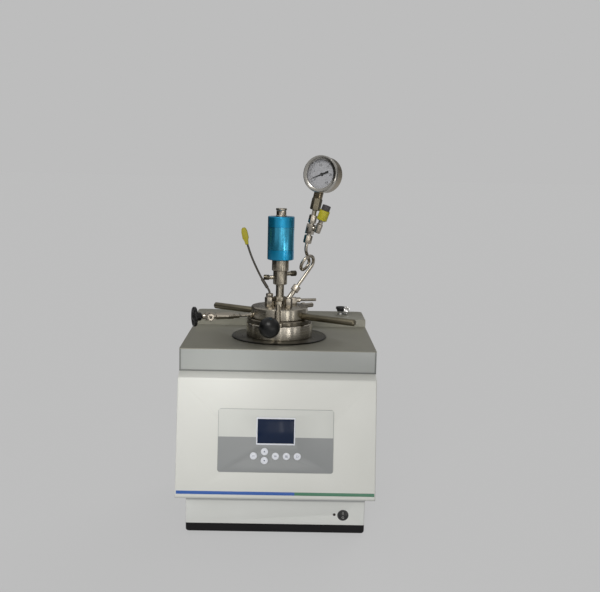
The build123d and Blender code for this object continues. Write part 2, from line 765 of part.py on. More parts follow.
# ---- stirrer ---------------------------------------------------------------------
def make_stirrer():
    """Neck, cooling jacket, magnetic drive and shaft, on the reactor's axis."""
    nut_top = head_top + neck_nut_height
    neck = hexagon(neck_nut_flats, head_top, nut_top) + rod(stem_radius, nut_top - 1, can_seat)
    neck -= rod(passage_radius, head_top - 1, can_seat + 1)
    keep("stirrer_neck", DECK * neck)

    jacket = turned(
        (stem_radius, jacket_low),
        (jacket_radius - 1, jacket_low),
        (jacket_radius, jacket_low + 1),
        (jacket_radius, jacket_high),
        (stem_radius, jacket_high),
        (stem_radius, jacket_high - jacket_wall),
        (jacket_radius - jacket_wall, jacket_high - jacket_wall),
        (jacket_radius - jacket_wall, jacket_low + jacket_wall),
        (stem_radius, jacket_low + jacket_wall),
    )
    for azimuth, radius, level, reach in zip(nipple_azimuths, nipple_radii, nipple_levels, nipple_reaches):
        stub = turned(
            (0, jacket_radius - 1.5),
            (radius - 1.3, jacket_radius - 1.5),
            (radius - 1.3, reach - 11),
            (radius, reach - 10.5),
            (radius, reach - 0.8),
            (radius - 0.8, reach),
            (0, reach),
        )
        place = Pos(0, 0, level) * Rot(0, 0, azimuth) * Rot(0, 90, 0)
        jacket += place * stub
        jacket -= place * rod(nipple_bore, jacket_radius - 3, reach + 1)
    keep("cooling_jacket", DECK * jacket)

    can = turned(
        (stem_radius, jacket_high),
        (collar_drive_radius - 0.8, jacket_high),
        (collar_drive_radius, jacket_high + 0.8),
        (collar_drive_radius, housing_low),
        (can_outer, housing_low),
        (can_outer, can_top - 1),
        (can_outer - 1, can_top),
        (0, can_top),
        (0, can_top - 3),
        (can_bore, can_top - 3),
        (can_bore, can_seat),
        (stem_radius, can_seat),
    )
    keep("pressure_can", DECK * can)

    bush_bore = shaft_radius + running_gap
    lower = tube(passage_radius, bush_bore, head_top, head_top + bush_length)
    thrust_top = can_seat + 4.7
    upper = turned(
        (bush_bore, can_seat - bush_length),
        (passage_radius, can_seat - bush_length),
        (passage_radius, can_seat),
        (thrust_radius, can_seat),
        (thrust_radius, thrust_top),
        (bush_bore, thrust_top),
    )
    keep("shaft_bushes", DECK * lower, DECK * upper)
    magnet_low = thrust_top + fit_gap
    keep("inner_rotor", DECK * turned(
        (shaft_radius, magnet_low),
        (magnet_radius - 1, magnet_low),
        (magnet_radius, magnet_low + 1),
        (magnet_radius, magnet_low + magnet_height - 1),
        (magnet_radius - 1, magnet_low + magnet_height),
        (shaft_radius, magnet_low + magnet_height),
    ))
    blade_low = shaft_bottom + 1
    shaft = rod(shaft_radius, shaft_bottom, magnet_low + magnet_height)
    shaft += rod(hub_radius, shaft_bottom, shaft_bottom + blade_size[2] + 2)
    blade = Pos(hub_radius - 1, 0, blade_low + blade_size[2] / 2) * Rot(45, 0, 0) * Box(
        *blade_size, align=(Align.MIN, Align.CENTER, Align.CENTER)
    )
    for number in range(blade_count):
        shaft += Rot(0, 0, number * 360 / blade_count) * blade
    keep("stirrer_shaft", DECK * shaft)

    inner = housing_radius - housing_wall
    housing = turned(
        (can_outer + rotor_gap, housing_low),
        (housing_radius - 1, housing_low),
        (housing_radius, housing_low + 1),
        (housing_radius, housing_high - 1),
        (housing_radius - 1, housing_high),
        (3, housing_high),
        (3, housing_high - housing_end),
        (inner, housing_high - housing_end),
        (inner, housing_low + housing_end),
        (can_outer + rotor_gap, housing_low + housing_end),
    )
    keep("drive_housing", DECK * housing)
    motor_high = housing_high - housing_end
    motor_low = motor_high - motor_height
    motor = turned(
        (0, motor_low + 14),
        (motor_shaft_radius + running_gap, motor_low + 14),
        (motor_shaft_radius + running_gap, motor_low),
        (inner, motor_low),
        (inner, motor_high),
        (0, motor_high),
    )
    keep("drive_motor", DECK * motor)
    cup_bore = can_outer + rotor_gap
    cup_high = motor_low - 0.5
    rotor = turned(
        (cup_bore, rotor_low),
        (rotor_radius, rotor_low),
        (rotor_radius, cup_high),
        (motor_shaft_radius, cup_high),
        (motor_shaft_radius, motor_low + 12),
        (0, motor_low + 12),
        (0, cup_high - rotor_plate),
        (cup_bore, cup_high - rotor_plate),
    )
    keep("drive_rotor", DECK * rotor)

    low, high = housing_high, housing_high + connector_height
    rim_low = high - connector_rim
    keep("drive_connector", DECK * turned(
        (0, low),
        (connector_radii[1], low),
        (connector_radii[1], low + 1.5),
        (connector_radii[0], low + 2.5),
        (connector_radii[0], rim_low),
        (connector_radii[1], rim_low + 0.8),
        (connector_radii[1], high),
        (connector_radii[0] - 2, high),
        (connector_radii[0] - 2, high - 3),
        (0, high - 3),
    ))


# ---- temperature probe -----------------------------------------------------------
def make_probe():
    """Thermowell with its gland nut, bent probe and flat connector plug."""
    nut_low = head_top + gland_heights[0]
    nut_high = nut_low + gland_heights[1]
    well = rod(well_radius, well_bottom, head_shoulder + 1) + hexagon(gland_flats, head_shoulder, nut_low)
    well += hexagon(gland_flats - 4, nut_low, nut_high)
    well -= rod(probe_radius, well_bottom + 1.2, nut_high + 1)
    place = Pos(probe_x, probe_y, 0)
    keep("thermowell", DECK * place * well)

    bends = [(0, 0, nut_high - 4), (0, 0, nut_high + 4), *((x, 0, z) for x, z in probe_bends)]
    sheath = rod(probe_radius, well_bottom + 1.5, nut_high - 4) + pipe(bent(bends), probe_radius)
    lean = math.degrees(math.atan2(bends[1][0] - bends[2][0], bends[2][2] - bends[1][2]))
    sleeve = Pos(bends[2][0], 0, bends[2][2]) * Rot(0, -lean, 0) * rod(probe_radius + 1, -26, -6)
    keep("probe_sheath", DECK * place * (sheath + sleeve))

    wide, thick, long = probe_plug_size
    half = wide / 2
    outline = Polyline(
        (-half * 0.5, 0), (half * 0.5, 0), (half * 0.62, long * 0.22), (half, long * 0.38),
        (half * 0.96, long * 0.75), (half * 0.75, long * 0.92), (half * 0.4, long),
        (-half * 0.4, long), (-half * 0.75, long * 0.92), (-half * 0.96, long * 0.75),
        (-half, long * 0.38), (-half * 0.62, long * 0.22), close=True,
    )
    plug = extrude(Plane.XZ * make_face(outline), thick / 2, both=True)
    plug = chamfer(plug.faces().filter_by(Axis.Y).edges(), 1.0)
    end = bends[-1]
    plug = Pos(end[0], 0, end[2] - 2) * Rot(0, plug_lean, 0) * plug
    keep("probe_plug", DECK * place * (plug - sheath))


# ---- valve and ports -------------------------------------------------------------
def make_valve():
    """Needle valve on the head's left side, with its handwheel and forward gas port."""
    place = radial(valve_azimuth, valve_level)
    root = head_radius - bar_socket
    body = turned(
        (0, root), (4.0, root), (4.0, head_radius + 0.5), (5.2, head_radius + 0.5), (5.2, 60), (3.2, 63),
        (3.2, 80), (5.2, 82), (5.2, 92), (6.6, 94), (6.6, 127), (5.0, 129), (5.0, 134), (0, 134),
    )
    body += hexagon(port_flats, port_distance - port_half, port_distance + port_half)
    body += turned((0, 148), (5.4, 148), (5.4, 153), (4.2, 155), (0, 155))
    port = Pos(0, 0, port_distance) * Rot(-90, 0, 0)
    body += port * rod(5.0, 0, port_reach - 8)
    body += port * hexagon(port_flats, port_reach - 8, port_reach)
    body -= port * rod(valve_bore, 3, port_reach + 1)
    body -= rod(stem_valve_radius + running_gap, spindle_root - 1, wheel_distance)
    keep("valve_body", place * body)

    face = wheel_distance + wheel_thick / 2
    back = wheel_distance - wheel_thick / 2
    wheel = turned(
        (0, spindle_root),
        (stem_valve_radius, spindle_root),
        (stem_valve_radius, 156),
        (hub_wheel_radius, 156.5),
        (hub_wheel_radius + 1.5, back),
        (wheel_radius - 1.5, back),
        (wheel_radius, back + 1.5),
        (wheel_radius, face - 1.5),
        (wheel_radius - 1.5, face),
        (wheel_radius - 4, face),
        (hub_wheel_radius, face - 1.5),
        (hub_wheel_radius - 2, face + 0.8),
        (0, face + 0.8),
    )
    for number in range(wheel_flutes):
        groove = Pos(wheel_radius + 2.2, 0, 0) * rod(3.2, back - 1, face + 1)
        wheel -= Rot(0, 0, number * 360 / wheel_flutes) * groove
    keep("valve_handwheel", place * wheel)


def make_ports():
    """Outlet port in the head's side and a sampling elbow on its top, both at the right rear."""
    root = head_radius - bar_socket
    port = turned(
        (0, root), (3.6, root), (3.6, head_radius + 1), (outlet_radius, head_radius + 1),
        (outlet_radius, outlet_reach - 1), (outlet_radius - 1, outlet_reach), (0, outlet_reach),
    )
    port += hexagon(12.0, head_radius + 1, head_radius + 9)
    port -= rod(valve_bore, head_radius + 5, outlet_reach + 1)
    keep("outlet_port", radial(outlet_azimuth, outlet_level) * port)
    elbow = hexagon(13.0, head_shoulder, head_shoulder + 4)
    elbow += Pos(0, 0, head_shoulder) * Box(11, 11, 13, align=UP)
    run = Pos(0, 0, sample_level) * Rot(0, 90, 0)
    elbow += run * hexagon(9.0, 5, 14)
    elbow += run * rod(sample_radius, 13, sample_reach)
    elbow -= run * rod(sample_radius - 1, 8, sample_reach + 1)
    keep("sample_elbow", DECK * Pos(*sample_place) * Rot(0, 0, 12) * elbow)


# ---- pressure line ---------------------------------------------------------------
def make_line():
    """Adaptor in the head, siphon tube with one loop, tee, relief valve and gauge adaptor."""
    knee = Vector(*adaptor_place, adaptor_knee)
    loop_middle = Vector(loop_centre[0], line_y, loop_centre[1])
    nut_end = Vector(*adaptor_end)
    along = (nut_end - knee).normalized()
    lean_place = Plane(origin=knee, z_dir=along, x_dir=(0, 1, 0))
    length = (nut_end - knee).length
    fitting = Pos(*adaptor_place) * hexagon(adaptor_flats, head_shoulder, adaptor_knee)
    fitting += Pos(*knee) * Sphere(5.6)
    fitting += lean_place * rod(4.6, 0, length - 9)
    fitting += lean_place * hexagon(adaptor_nut_flats, length - 12, length)
    fitting -= lean_place * rod(tube_radius, length - 8, length + 1)
    keep("line_adaptor", DECK * fitting)

    up = Vector(math.sin(math.radians(loop_lean)), 0, math.cos(math.radians(loop_lean)))
    yaw = math.radians(loop_yaw)
    level = Vector(up.Z * math.cos(yaw), math.sin(yaw), -up.X * math.cos(yaw))
    across = up.cross(level)
    spots = [nut_end - along * 8, nut_end + along * 18]
    for step in range(9):
        angle = math.radians(80 - 45 * step)
        wide = loop_radius / math.cos(math.radians(22.5))
        spot = loop_middle + up * (wide * math.cos(angle)) + level * (wide * math.sin(angle))
        spots.append(spot + across * (loop_pitch * (step / 8 - 0.5)))
    riser_axis = Vector(math.sin(math.radians(riser_lean)), 0, math.cos(math.radians(riser_lean)))
    riser_foot = Vector(riser_x, line_y, riser_level)
    spots += [riser_foot - riser_axis * 24, riser_foot - riser_axis * 4]
    keep("siphon_tube", DECK * pipe(bent([tuple(spot) for spot in spots]), tube_radius))

    branch = Rot(0, 0, branch_turn) * Pos(0, 0, 20) * Rot(0, 90, 0)
    tee = hexagon(14.0, -10.6, 5.0) + rod(4.6, 4, 8)
    tee += Rot(0, 0, branch_turn) * Pos(0, 0, 7.5) * Box(tee_side, tee_side, 19.5, align=UP)
    tee += branch * rod(5.0, 0, branch_length)
    tee += rod(5.0, 26, line_nut_low + 1) + hexagon(13.5, line_nut_low, line_nut_high)
    tee += rod(4.4, line_nut_high - 1, line_top)
    tee -= rod(tube_radius, -11, -4)
    keep("line_tee", RISER * tee)
    relief_place = Rot(0, 0, branch_turn) * Pos(relief_distance, 0, relief_rise) * Rot(0, relief_lean, 0)
    relief = turned(
        (0, -9), (relief_radius - 1, -9), (relief_radius, -8), (relief_radius, 8), (4.6, 9.5), (4.6, 15),
        (8.0, 16), (8.0, 37.5), (8.2, 38), (8.2, 46), (7.2, 47), (0, 47),
    )
    relief = relief_place * relief + branch * rod(4.4, branch_length, relief_distance)
    keep("relief_valve", RISER * relief)
    band = turned((8.0, 17), (relief_band_radius, 17.5), (relief_band_radius, 36.5), (8.0, 37))
    keep("relief_band", RISER * relief_place * band)
    adaptor = rod(5.2, line_top, line_top + 2) + hexagon(17.5, line_top + 1, gauge_foot)
    keep("gauge_adaptor", RISER * adaptor)


def make_gauge():
    """Dial gauge: deep steel case with a rolled bezel, dial, pointer on its spindle and glass."""
    half = gauge_depth / 2
    turn = Rot(90, 0, 0)
    inner = gauge_radius - gauge_wall
    case = turned(
        (0, -half),
        (gauge_radius - 4.0, -half),
        (gauge_radius - 1.2, -half + 3.0),
        (gauge_radius - 1.2, half - 9.0),
        (gauge_radius, half - 8.0),
        (gauge_radius, half - 1.6),
        (gauge_radius - 1.6, half),
        (gauge_radius - bezel_width, half - 1.2),
        (gauge_radius - bezel_width, half - 3.0),
        (inner - 1.2, half - 3.0),
        (inner - 1.2, -half + gauge_wall + 2),
        (0, -half + gauge_wall + 2),
    )
    stem = Pos(0, 0, gauge_foot - gauge_rise) * Box(*gauge_stem, align=UP)
    stem = chamfer(stem.edges().filter_by(Axis.Z), 1.5)
    keep("gauge_case", GAUGE * (turn * case + stem))
    glass_face = half - 3.0
    keep("gauge_glass", GAUGE * turn * rod(inner - 1.2, glass_face - glass_thick, glass_face))
    dial_face = half - 11.0
    dial = tube(inner - 1.2, spindle_radius + 0.4, dial_face - dial_thick, dial_face)
    dial += tube(8.0, spindle_radius + 0.4, -half + gauge_wall + 2, dial_face - dial_thick)
    keep("gauge_dial", GAUGE * turn * dial)
    high = dial_face + 1.6
    outline = Polyline(
        (-1.6, -4), (-2.2, -pointer_tail), (2.2, -pointer_tail), (1.6, -4), (1.3, 4), (0.35, pointer_long),
        (-0.35, pointer_long), (-1.3, 4), close=True,
    )
    pointer = Pos(0, 0, high - 0.6) * extrude(make_face(outline), 0.6)
    pointer += rod(3.2, high - 0.6, high + 0.8)
    pointer += rod(spindle_radius, dial_face - 6, high)
    keep("gauge_pointer", GAUGE * turn * Rot(0, 0, 90 + pointer_rest) * pointer)


def make_platform_socket():
    """Tapered black socket on a thin flange, with its ring cap beside it, on the rear platform."""
    place = Pos(socket_x, socket_y, platform_level)
    narrow, wide = socket_radii
    top = socket_height
    body = turned(
        (0, 0), (wide - 2.5, 0), (wide - 2.5, 1.6), (narrow, 1.6), (narrow, 4), (wide - 1, top - 5),
        (wide, top - 4), (wide, top), (wide - 3, top), (wide - 3, top - 2), (0, top - 2),
    )
    rim = cap_ring_radius
    cap = turned((0, -3), (rim - 1, -3), (rim, -2), (rim, 3), (rim - 2, 3), (rim - 2, 0.5), (0, 0.5))
    reach = math.hypot(*cap_place[:2])
    arm = Pos(narrow - 1, 0, 0) * Box(reach - narrow + 3, 4, 2.8, align=(Align.MIN, Align.CENTER, Align.MIN))
    arm += Pos(reach, 0, 0) * rod(2.0, 0, cap_place[2] - rim + 1.5)
    arm = Rot(0, 0, math.degrees(math.atan2(cap_place[1], cap_place[0]))) * arm
    keep("platform_socket", place * (body + arm + Pos(*cap_place) * Rot(90, 0, 0) * cap))


os.makedirs("parts", exist_ok=True)
make_base()
make_plinth()
make_hood()
make_cover()
make_rear()
make_panel()
make_switch()
make_heater()
make_vessel()
make_lock_ring()
make_bars()
make_stirrer()
make_probe()
make_valve()
make_ports()
make_line()
make_gauge()
make_platform_socket()
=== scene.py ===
import json
import math

import bpy
from mathutils import Matrix, Vector

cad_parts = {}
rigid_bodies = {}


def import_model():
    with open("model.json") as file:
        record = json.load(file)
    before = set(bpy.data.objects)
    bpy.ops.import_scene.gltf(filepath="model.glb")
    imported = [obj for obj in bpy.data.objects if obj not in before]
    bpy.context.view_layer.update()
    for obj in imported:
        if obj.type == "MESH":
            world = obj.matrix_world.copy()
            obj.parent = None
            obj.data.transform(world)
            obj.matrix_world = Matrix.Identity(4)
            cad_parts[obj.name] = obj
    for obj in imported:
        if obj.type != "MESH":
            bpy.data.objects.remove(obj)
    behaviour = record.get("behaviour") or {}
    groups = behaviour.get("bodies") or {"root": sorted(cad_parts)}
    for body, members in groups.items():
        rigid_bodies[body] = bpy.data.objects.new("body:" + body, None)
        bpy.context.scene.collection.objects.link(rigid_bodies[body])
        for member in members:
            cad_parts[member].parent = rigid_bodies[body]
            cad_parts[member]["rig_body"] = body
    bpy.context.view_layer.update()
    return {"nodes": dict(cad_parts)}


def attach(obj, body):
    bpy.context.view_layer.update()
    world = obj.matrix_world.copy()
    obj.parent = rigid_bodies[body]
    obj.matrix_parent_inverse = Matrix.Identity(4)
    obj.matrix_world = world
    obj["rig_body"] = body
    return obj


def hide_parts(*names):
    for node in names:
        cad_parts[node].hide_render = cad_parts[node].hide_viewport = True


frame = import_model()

bpy.context.scene.view_settings.view_transform = "Standard"


# ---- camera ----------------------------------------------------------------------------------
# Stands where an operator stands, a little above the cover, tipped down and slightly rolled.
bpy.ops.object.camera_add()
camera = bpy.context.object
camera.data.sensor_width = 36.0
camera.data.lens = 51.93
camera.data.clip_start = 0.05
camera.data.clip_end = 200.0
camera.matrix_world = (
    Matrix.Translation((0.0140, -1.68867, 0.68176))
    @ Matrix.Rotation(math.radians(-0.87), 4, "Z")
    @ Matrix.Rotation(math.radians(90 - 8.35), 4, "X")
    @ Matrix.Rotation(math.radians(1.28), 4, "Z")
)
bpy.context.scene.camera = camera


# ---- sums of signals -------------------------------------------------------------------------
# What every finish is written with: signals of a node tree that add, multiply and blend.
class Signal:
    """One socket of a node tree, so that a finish can be written as sums and products."""

    def __init__(self, socket):
        self.socket = socket

    def node(self, kind, settings=None, inputs=None, out=0):
        """Add a node of this kind beside the socket and give back one of its outputs."""
        tree = self.socket.id_data
        made = tree.nodes.new(kind)
        for name, value in (settings or {}).items():
            setattr(made, name, value)
        for name, value in (inputs or {}).items():
            if isinstance(value, Signal):
                tree.links.new(made.inputs[name], value.socket)
            else:
                made.inputs[name].default_value = value
        return Signal(made.outputs[out])

    def maths(self, operation, first, second):
        """A sum of two values, each a number or a signal."""
        return self.node("ShaderNodeMath", {"operation": operation}, {0: first, 1: second})

    def through(self, function):
        """The signal put through a function of one value, such as SINE or ABSOLUTE."""
        return self.maths(function, self, 0.0)

    def __add__(self, other):
        return self.maths("ADD", self, other)

    def __sub__(self, other):
        return self.maths("SUBTRACT", self, other)

    def __rsub__(self, other):
        return self.maths("SUBTRACT", other, self)

    def __mul__(self, other):
        return self.maths("MULTIPLY", self, other)

    def __gt__(self, other):
        return self.maths("GREATER_THAN", self, other)

    def __lt__(self, other):
        return self.maths("LESS_THAN", self, other)

    __radd__ = __add__
    __rmul__ = __mul__

    def between(self, low, high):
        """1 where the signal lies between two values, else 0."""
        return (self > low) * (self < high)

    def blend(self, low, high):
        """Colour that goes from low to high as the signal goes from 0 to 1."""
        return self.node("ShaderNodeMix", {"data_type": "RGBA"}, {0: self, 6: low, 7: high}, 2)

    def axes(self):
        """The three parts of a position."""
        split = self.node("ShaderNodeSeparateXYZ", {}, {0: self}).socket.node
        return [Signal(output) for output in split.outputs]

    def along(self, way):
        """How far a position lies along a direction, in metres."""
        return self.node("ShaderNodeVectorMath", {"operation": "DOT_PRODUCT"}, {0: self, 1: way}, 1)

    def into(self, socket):
        """Link the signal to an input socket."""
        self.socket.id_data.links.new(socket, self.socket)


def seen(red, green, blue):
    """A colour as it looks, 0 to 255, as the linear values a shader takes."""
    parts = [part / 255 for part in (red, green, blue)]
    linear = [p / 12.92 if p <= 0.04045 else ((p + 0.055) / 1.055) ** 2.4 for p in parts]
    return (*linear, 1.0)


# ---- floor and sky of the studio -------------------------------------------------------------
# A pale grey floor that runs out to a sky of the same grey. Both show that grey to the lens and
# in polished metal, while the floor keeps the soft shadow of what stands on it.
def shown_rays(nodes):
    """1 for rays from the lens, off polish or through glass, 0 for rays that gather light."""
    outputs = nodes.new("ShaderNodeLightPath").outputs
    kinds = ("Camera", "Glossy", "Transmission")
    lens, polish, glass = (Signal(outputs[f"Is {kind} Ray"]) for kind in kinds)
    either = lens.maths("MAXIMUM", lens, polish)
    return either.maths("MAXIMUM", either, glass)


sky = bpy.data.worlds.new("studio_sky")
bpy.context.scene.world = sky
sky.use_nodes = True
sky_nodes = sky.node_tree.nodes
sky_nodes["Background"].inputs["Color"].default_value = seen(189, 189, 189)
sky_grey = Signal(sky_nodes["Background"].outputs[0])
shown = shown_rays(sky_nodes)
sky_light = shown.node("ShaderNodeBackground", {}, {"Color": (1, 1, 1, 1), "Strength": 0.34})
shown.node("ShaderNodeMixShader", {}, {0: shown, 1: sky_light, 2: sky_grey}).into(
    sky_nodes["World Output"].inputs["Surface"]
)

bpy.ops.object.select_all(action="DESELECT")
bpy.ops.mesh.primitive_plane_add(size=120.0)
floor = bpy.context.object
floor.name = "studio_floor"
floor_paint = bpy.data.materials.new("studio_floor_paint")
floor_paint.use_nodes = True
floor_nodes = floor_paint.node_tree.nodes
floor_nodes.remove(floor_nodes["Principled BSDF"])
shown = shown_rays(floor_nodes)
plain = shown.node("ShaderNodeBsdfDiffuse", {}, {"Color": (0.5, 0.5, 0.5, 1)})
matt = shown.node("ShaderNodeBsdfDiffuse", {}, {"Color": (0.12, 0.12, 0.12, 1)})
glow = shown.node("ShaderNodeEmission", {}, {"Color": (1, 1, 1, 1), "Strength": 0.444})
both = shown.node("ShaderNodeAddShader", {}, {0: matt, 1: glow})
shown.node("ShaderNodeMixShader", {}, {0: shown, 1: plain, 2: both}).into(
    floor_nodes["Material Output"].inputs["Surface"]
)
floor.data.materials.append(floor_paint)


# ---- lamps, panes and flags ------------------------------------------------------------------
# Two broad soft lamps light the paint, the strong one low in front and a weak one behind. A
# panel and two soft spots add light from the left. Bright panes and dark flags stand round the
# reactor for the polished steel to mirror.
def soft_lamp(name, azimuth, elevation, level):
    """A broad lamp far away. Azimuth 0 is in front, positive to the right."""
    bpy.ops.object.light_add(type="SUN")
    lamp = bpy.context.object
    lamp.name = name
    lamp.data.energy = level * math.pi
    lamp.data.angle = math.radians(35)
    lamp.visible_glossy = False
    lamp.rotation_euler = (math.radians(90 - elevation), 0, math.radians(azimuth))


soft_lamp("front_lamp", -10, 14, 0.50)
soft_lamp("rear_lamp", 152, 20, 0.30)


def aimed_lamp(name, kind, spot, target, watts, **settings):
    """A lamp of this kind close by, turned to a point, that polish doesn't mirror."""
    bpy.ops.object.light_add(type=kind, location=spot)
    lamp = bpy.context.object
    lamp.name = name
    lamp.data.energy = watts
    lamp.visible_glossy = False
    lamp.rotation_euler = (Vector(target) - Vector(spot)).to_track_quat("-Z", "Y").to_euler()
    for setting, value in settings.items():
        setattr(lamp.data, setting, value)


aimed_lamp("left_panel", "AREA", (-0.50, -0.72, 0.45), (-0.12, -0.18, 0.28), 0.22, size=0.4)
aimed_lamp(
    "left_spot", "SPOT", (-0.75, -1.20, 0.35), (-0.19, -0.19, 0.24), 9.0,
    spot_size=math.radians(22), spot_blend=1.0, shadow_soft_size=0.08,
)
aimed_lamp(
    "lip_spot", "SPOT", (-0.60, -1.25, 0.55), (-0.100, -0.15, 0.335), 15.0,
    spot_size=math.radians(11), spot_blend=1.0, shadow_soft_size=0.06,
)


PANE_DISTANCE = 1.9


def mirrored(name, azimuth, low, high, width, level):
    """A standing pane of light, or a dark flag when its level is near 0, that only polish shows."""
    bearing = math.radians(azimuth)
    centre = (
        PANE_DISTANCE * math.sin(bearing), -PANE_DISTANCE * math.cos(bearing), (low + high) / 2
    )
    bpy.ops.object.select_all(action="DESELECT")
    bpy.ops.mesh.primitive_plane_add(size=1.0)
    pane = bpy.context.object
    pane.name = name
    pane.matrix_world = (
        Matrix.Translation(centre)
        @ Matrix.Rotation(bearing, 4, "Z")
        @ Matrix.Rotation(math.radians(90), 4, "X")
        @ Matrix.Diagonal((width, high - low, 1, 1))
    )
    face = bpy.data.materials.new(name)
    face.use_nodes = True
    shader = face.node_tree.nodes["Principled BSDF"]
    shader.inputs["Base Color"].default_value = (0.02, 0.02, 0.02, 1)
    shader.inputs["Roughness"].default_value = 1.0
    shader.inputs["Emission Color"].default_value = (1.0, 0.98, 0.95, 1)
    shader.inputs["Emission Strength"].default_value = level
    pane.data.materials.append(face)
    pane.visible_camera = False
    pane.visible_diffuse = False
    pane.visible_shadow = False
    pane.visible_transmission = False


mirrored("pane_near", 33, -0.1, 0.30, 0.36, 5.4)
mirrored("pane_far", 56, -0.1, 0.30, 0.34, 2.8)
mirrored("pane_wide", 12, 0.30, 0.95, 1.6, 1.05)
mirrored("pane_slot", 6, 0.30, 0.95, 0.09, 4.0)
mirrored("pane_slot_two", 20, 0.30, 0.95, 0.09, 2.6)
mirrored("pane_high", -15, 1.9, 3.6, 1.3, 9.0)
mirrored("flag_left", -57, -0.2, 0.29, 3.2, 0.0)
mirrored("flag_left_high", -91, 0.29, 1.3, 2.9, 0.0)
mirrored("flag_behind", 178, 0.45, 1.2, 3.0, 0.12)
mirrored("flag_behind_left", -140, -0.2, 1.3, 2.8, 0.02)
mirrored("flag_right", 104, -0.2, 1.3, 2.0, 0.12)


# ---- base tray -------------------------------------------------------------------------------
# Shallow black tray that the cabinet stands in, pressed from sheet and coated in a fine
# wrinkle finish.
def finish(name, **values):
    """A new material: itself, its surface shader and the position on the piece."""
    material = bpy.data.materials.new(name)
    material.use_nodes = True
    shader = material.node_tree.nodes["Principled BSDF"]
    for socket, value in values.items():
        shader.inputs[socket.replace("_", " ")].default_value = value
    place = Signal(material.node_tree.nodes.new("ShaderNodeTexCoord").outputs["Object"])
    return material, shader, place


def clouds(place, size, detail=2.0):
    """Soft noise whose patches are about this many millimetres across."""
    settings = {"Vector": place, "Scale": 1000.0 / size, "Detail": detail}
    return place.node("ShaderNodeTexNoise", {}, settings, "Fac")


def relief(height, strength, depth):
    """Bump from a height signal, with its depth in millimetres."""
    settings = {"Strength": strength, "Distance": depth / 1000.0, "Height": height}
    return height.node("ShaderNodeBump", {}, settings, "Normal")


def powder_coat(name, colour, worn, gloss, peel, grain, sheen=0.5, shade_band=(0.0, -0.001)):
    """Baked powder coat: orange peel, faint mottling, and a painted shade from one level to
    another.
    """
    material, shader, place = finish(name, Specular_IOR_Level=sheen)
    mottle = clouds(place, 90.0, 3.0)
    # Painted shade: the coat turns grey from the first level given to the second.
    shade_mix = (place.axes()[2] - shade_band[0]) * (1.0 / (shade_band[1] - shade_band[0]))
    coat = mottle.blend(colour, worn)
    shade_mix.blend(coat, seen(134, 136, 137)).into(shader.inputs["Base Color"])
    skin = clouds(place, grain, 2.0)
    (gloss + 0.10 * (mottle - 0.5) + 0.06 * (skin - 0.5)).into(shader.inputs["Roughness"])
    relief(skin, peel, 0.12).into(shader.inputs["Normal"])
    return material


def select_only(piece):
    """Nothing but this piece is selected and active."""
    bpy.ops.object.select_all(action="DESELECT")
    piece.select_set(True)
    bpy.context.view_layer.objects.active = piece


def smoothed(piece, edge=0.0, angle=32.0):
    """Break the piece's edges by some millimetres and shade its round faces smooth."""
    select_only(piece)
    if edge:
        bevel = piece.modifiers.new("broken_edge", "BEVEL")
        bevel.width = edge / 1000.0
        bevel.segments = 2
        bevel.limit_method = "ANGLE"
        bevel.angle_limit = math.radians(angle)
        bpy.ops.object.modifier_apply(modifier=bevel.name)
    bpy.ops.object.shade_smooth_by_angle(angle=math.radians(angle))


def dressed(node, material, edge=0.0, angle=32.0):
    """A finished copy of one node of the frame, merged and smoothed, in that node's place."""
    source = frame["nodes"][node]
    piece = bpy.data.objects.new(f"{node}_finished", source.data.copy())
    bpy.context.scene.collection.objects.link(piece)
    select_only(piece)
    bpy.ops.mesh.customdata_custom_splitnormals_clear()
    bpy.ops.object.mode_set(mode="EDIT")
    bpy.ops.mesh.select_all(action="SELECT")
    bpy.ops.mesh.remove_doubles(threshold=0.000002)
    bpy.ops.mesh.dissolve_limited(angle_limit=math.radians(0.4))
    bpy.ops.object.mode_set(mode="OBJECT")
    smoothed(piece, edge, angle)
    piece.data.materials.clear()
    piece.data.materials.append(material)
    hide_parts(node)
    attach(piece, source["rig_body"])


tray_coat = powder_coat(
    "tray_coat", seen(25, 25, 26), seen(35, 34, 35), gloss=0.50, peel=0.5, grain=0.9, sheen=0.12
)
dressed("base_tray", tray_coat, edge=0.4)


# ---- feet ------------------------------------------------------------------------------------
# Four low rubber feet screwed under the tray. Moulded rubber, dull, with a dusty bloom.
def faced(material, *nodes):
    """Give nodes of the frame this finish where they stand."""
    for node in nodes:
        mesh = frame["nodes"][node].data
        mesh.materials.clear()
        mesh.materials.append(material)


rubber, shader, place = finish("foot_rubber")
bloom = clouds(place, 6.0, 4.0)
bloom.blend(seen(26, 26, 27), seen(58, 57, 55)).into(shader.inputs["Base Color"])
(0.78 + 0.12 * bloom).into(shader.inputs["Roughness"])
relief(clouds(place, 0.5), 0.4, 0.1).into(shader.inputs["Normal"])
faced(rubber, "rubber_feet")


# ---- plinth and housing ----------------------------------------------------------------------
# Folded sheet steel in a warm white powder coat. The housing overhangs the plinth, and its
# front leans back up to the bend under the cover. The housing's lowest edge and the top of the
# plinth under it are painted grey, a painted shade under the overhang, all round.
# Painted shade: the housing's coat greys from 98.5 mm down to its lowest edge.
white_coat = powder_coat(
    "white_coat", seen(217, 217, 211), seen(211, 211, 204), gloss=0.36, peel=0.30, grain=1.5,
    shade_band=(0.0985, 0.0935),
)
# Painted shade: the plinth's coat greys from 64 mm up to its top. Its white is painted a touch
# paler than the housing's, as painted light that makes up for the overhang's shade.
plinth_coat = powder_coat(
    "plinth_coat", seen(222, 223, 219), seen(216, 217, 212), gloss=0.36, peel=0.30, grain=1.5,
    shade_band=(0.0640, 0.0685),
)
dressed("plinth_shell", plinth_coat, edge=0.3)
dressed("cabinet_shell", white_coat, edge=0.3)
dressed("rear_panel", white_coat, edge=0.2)


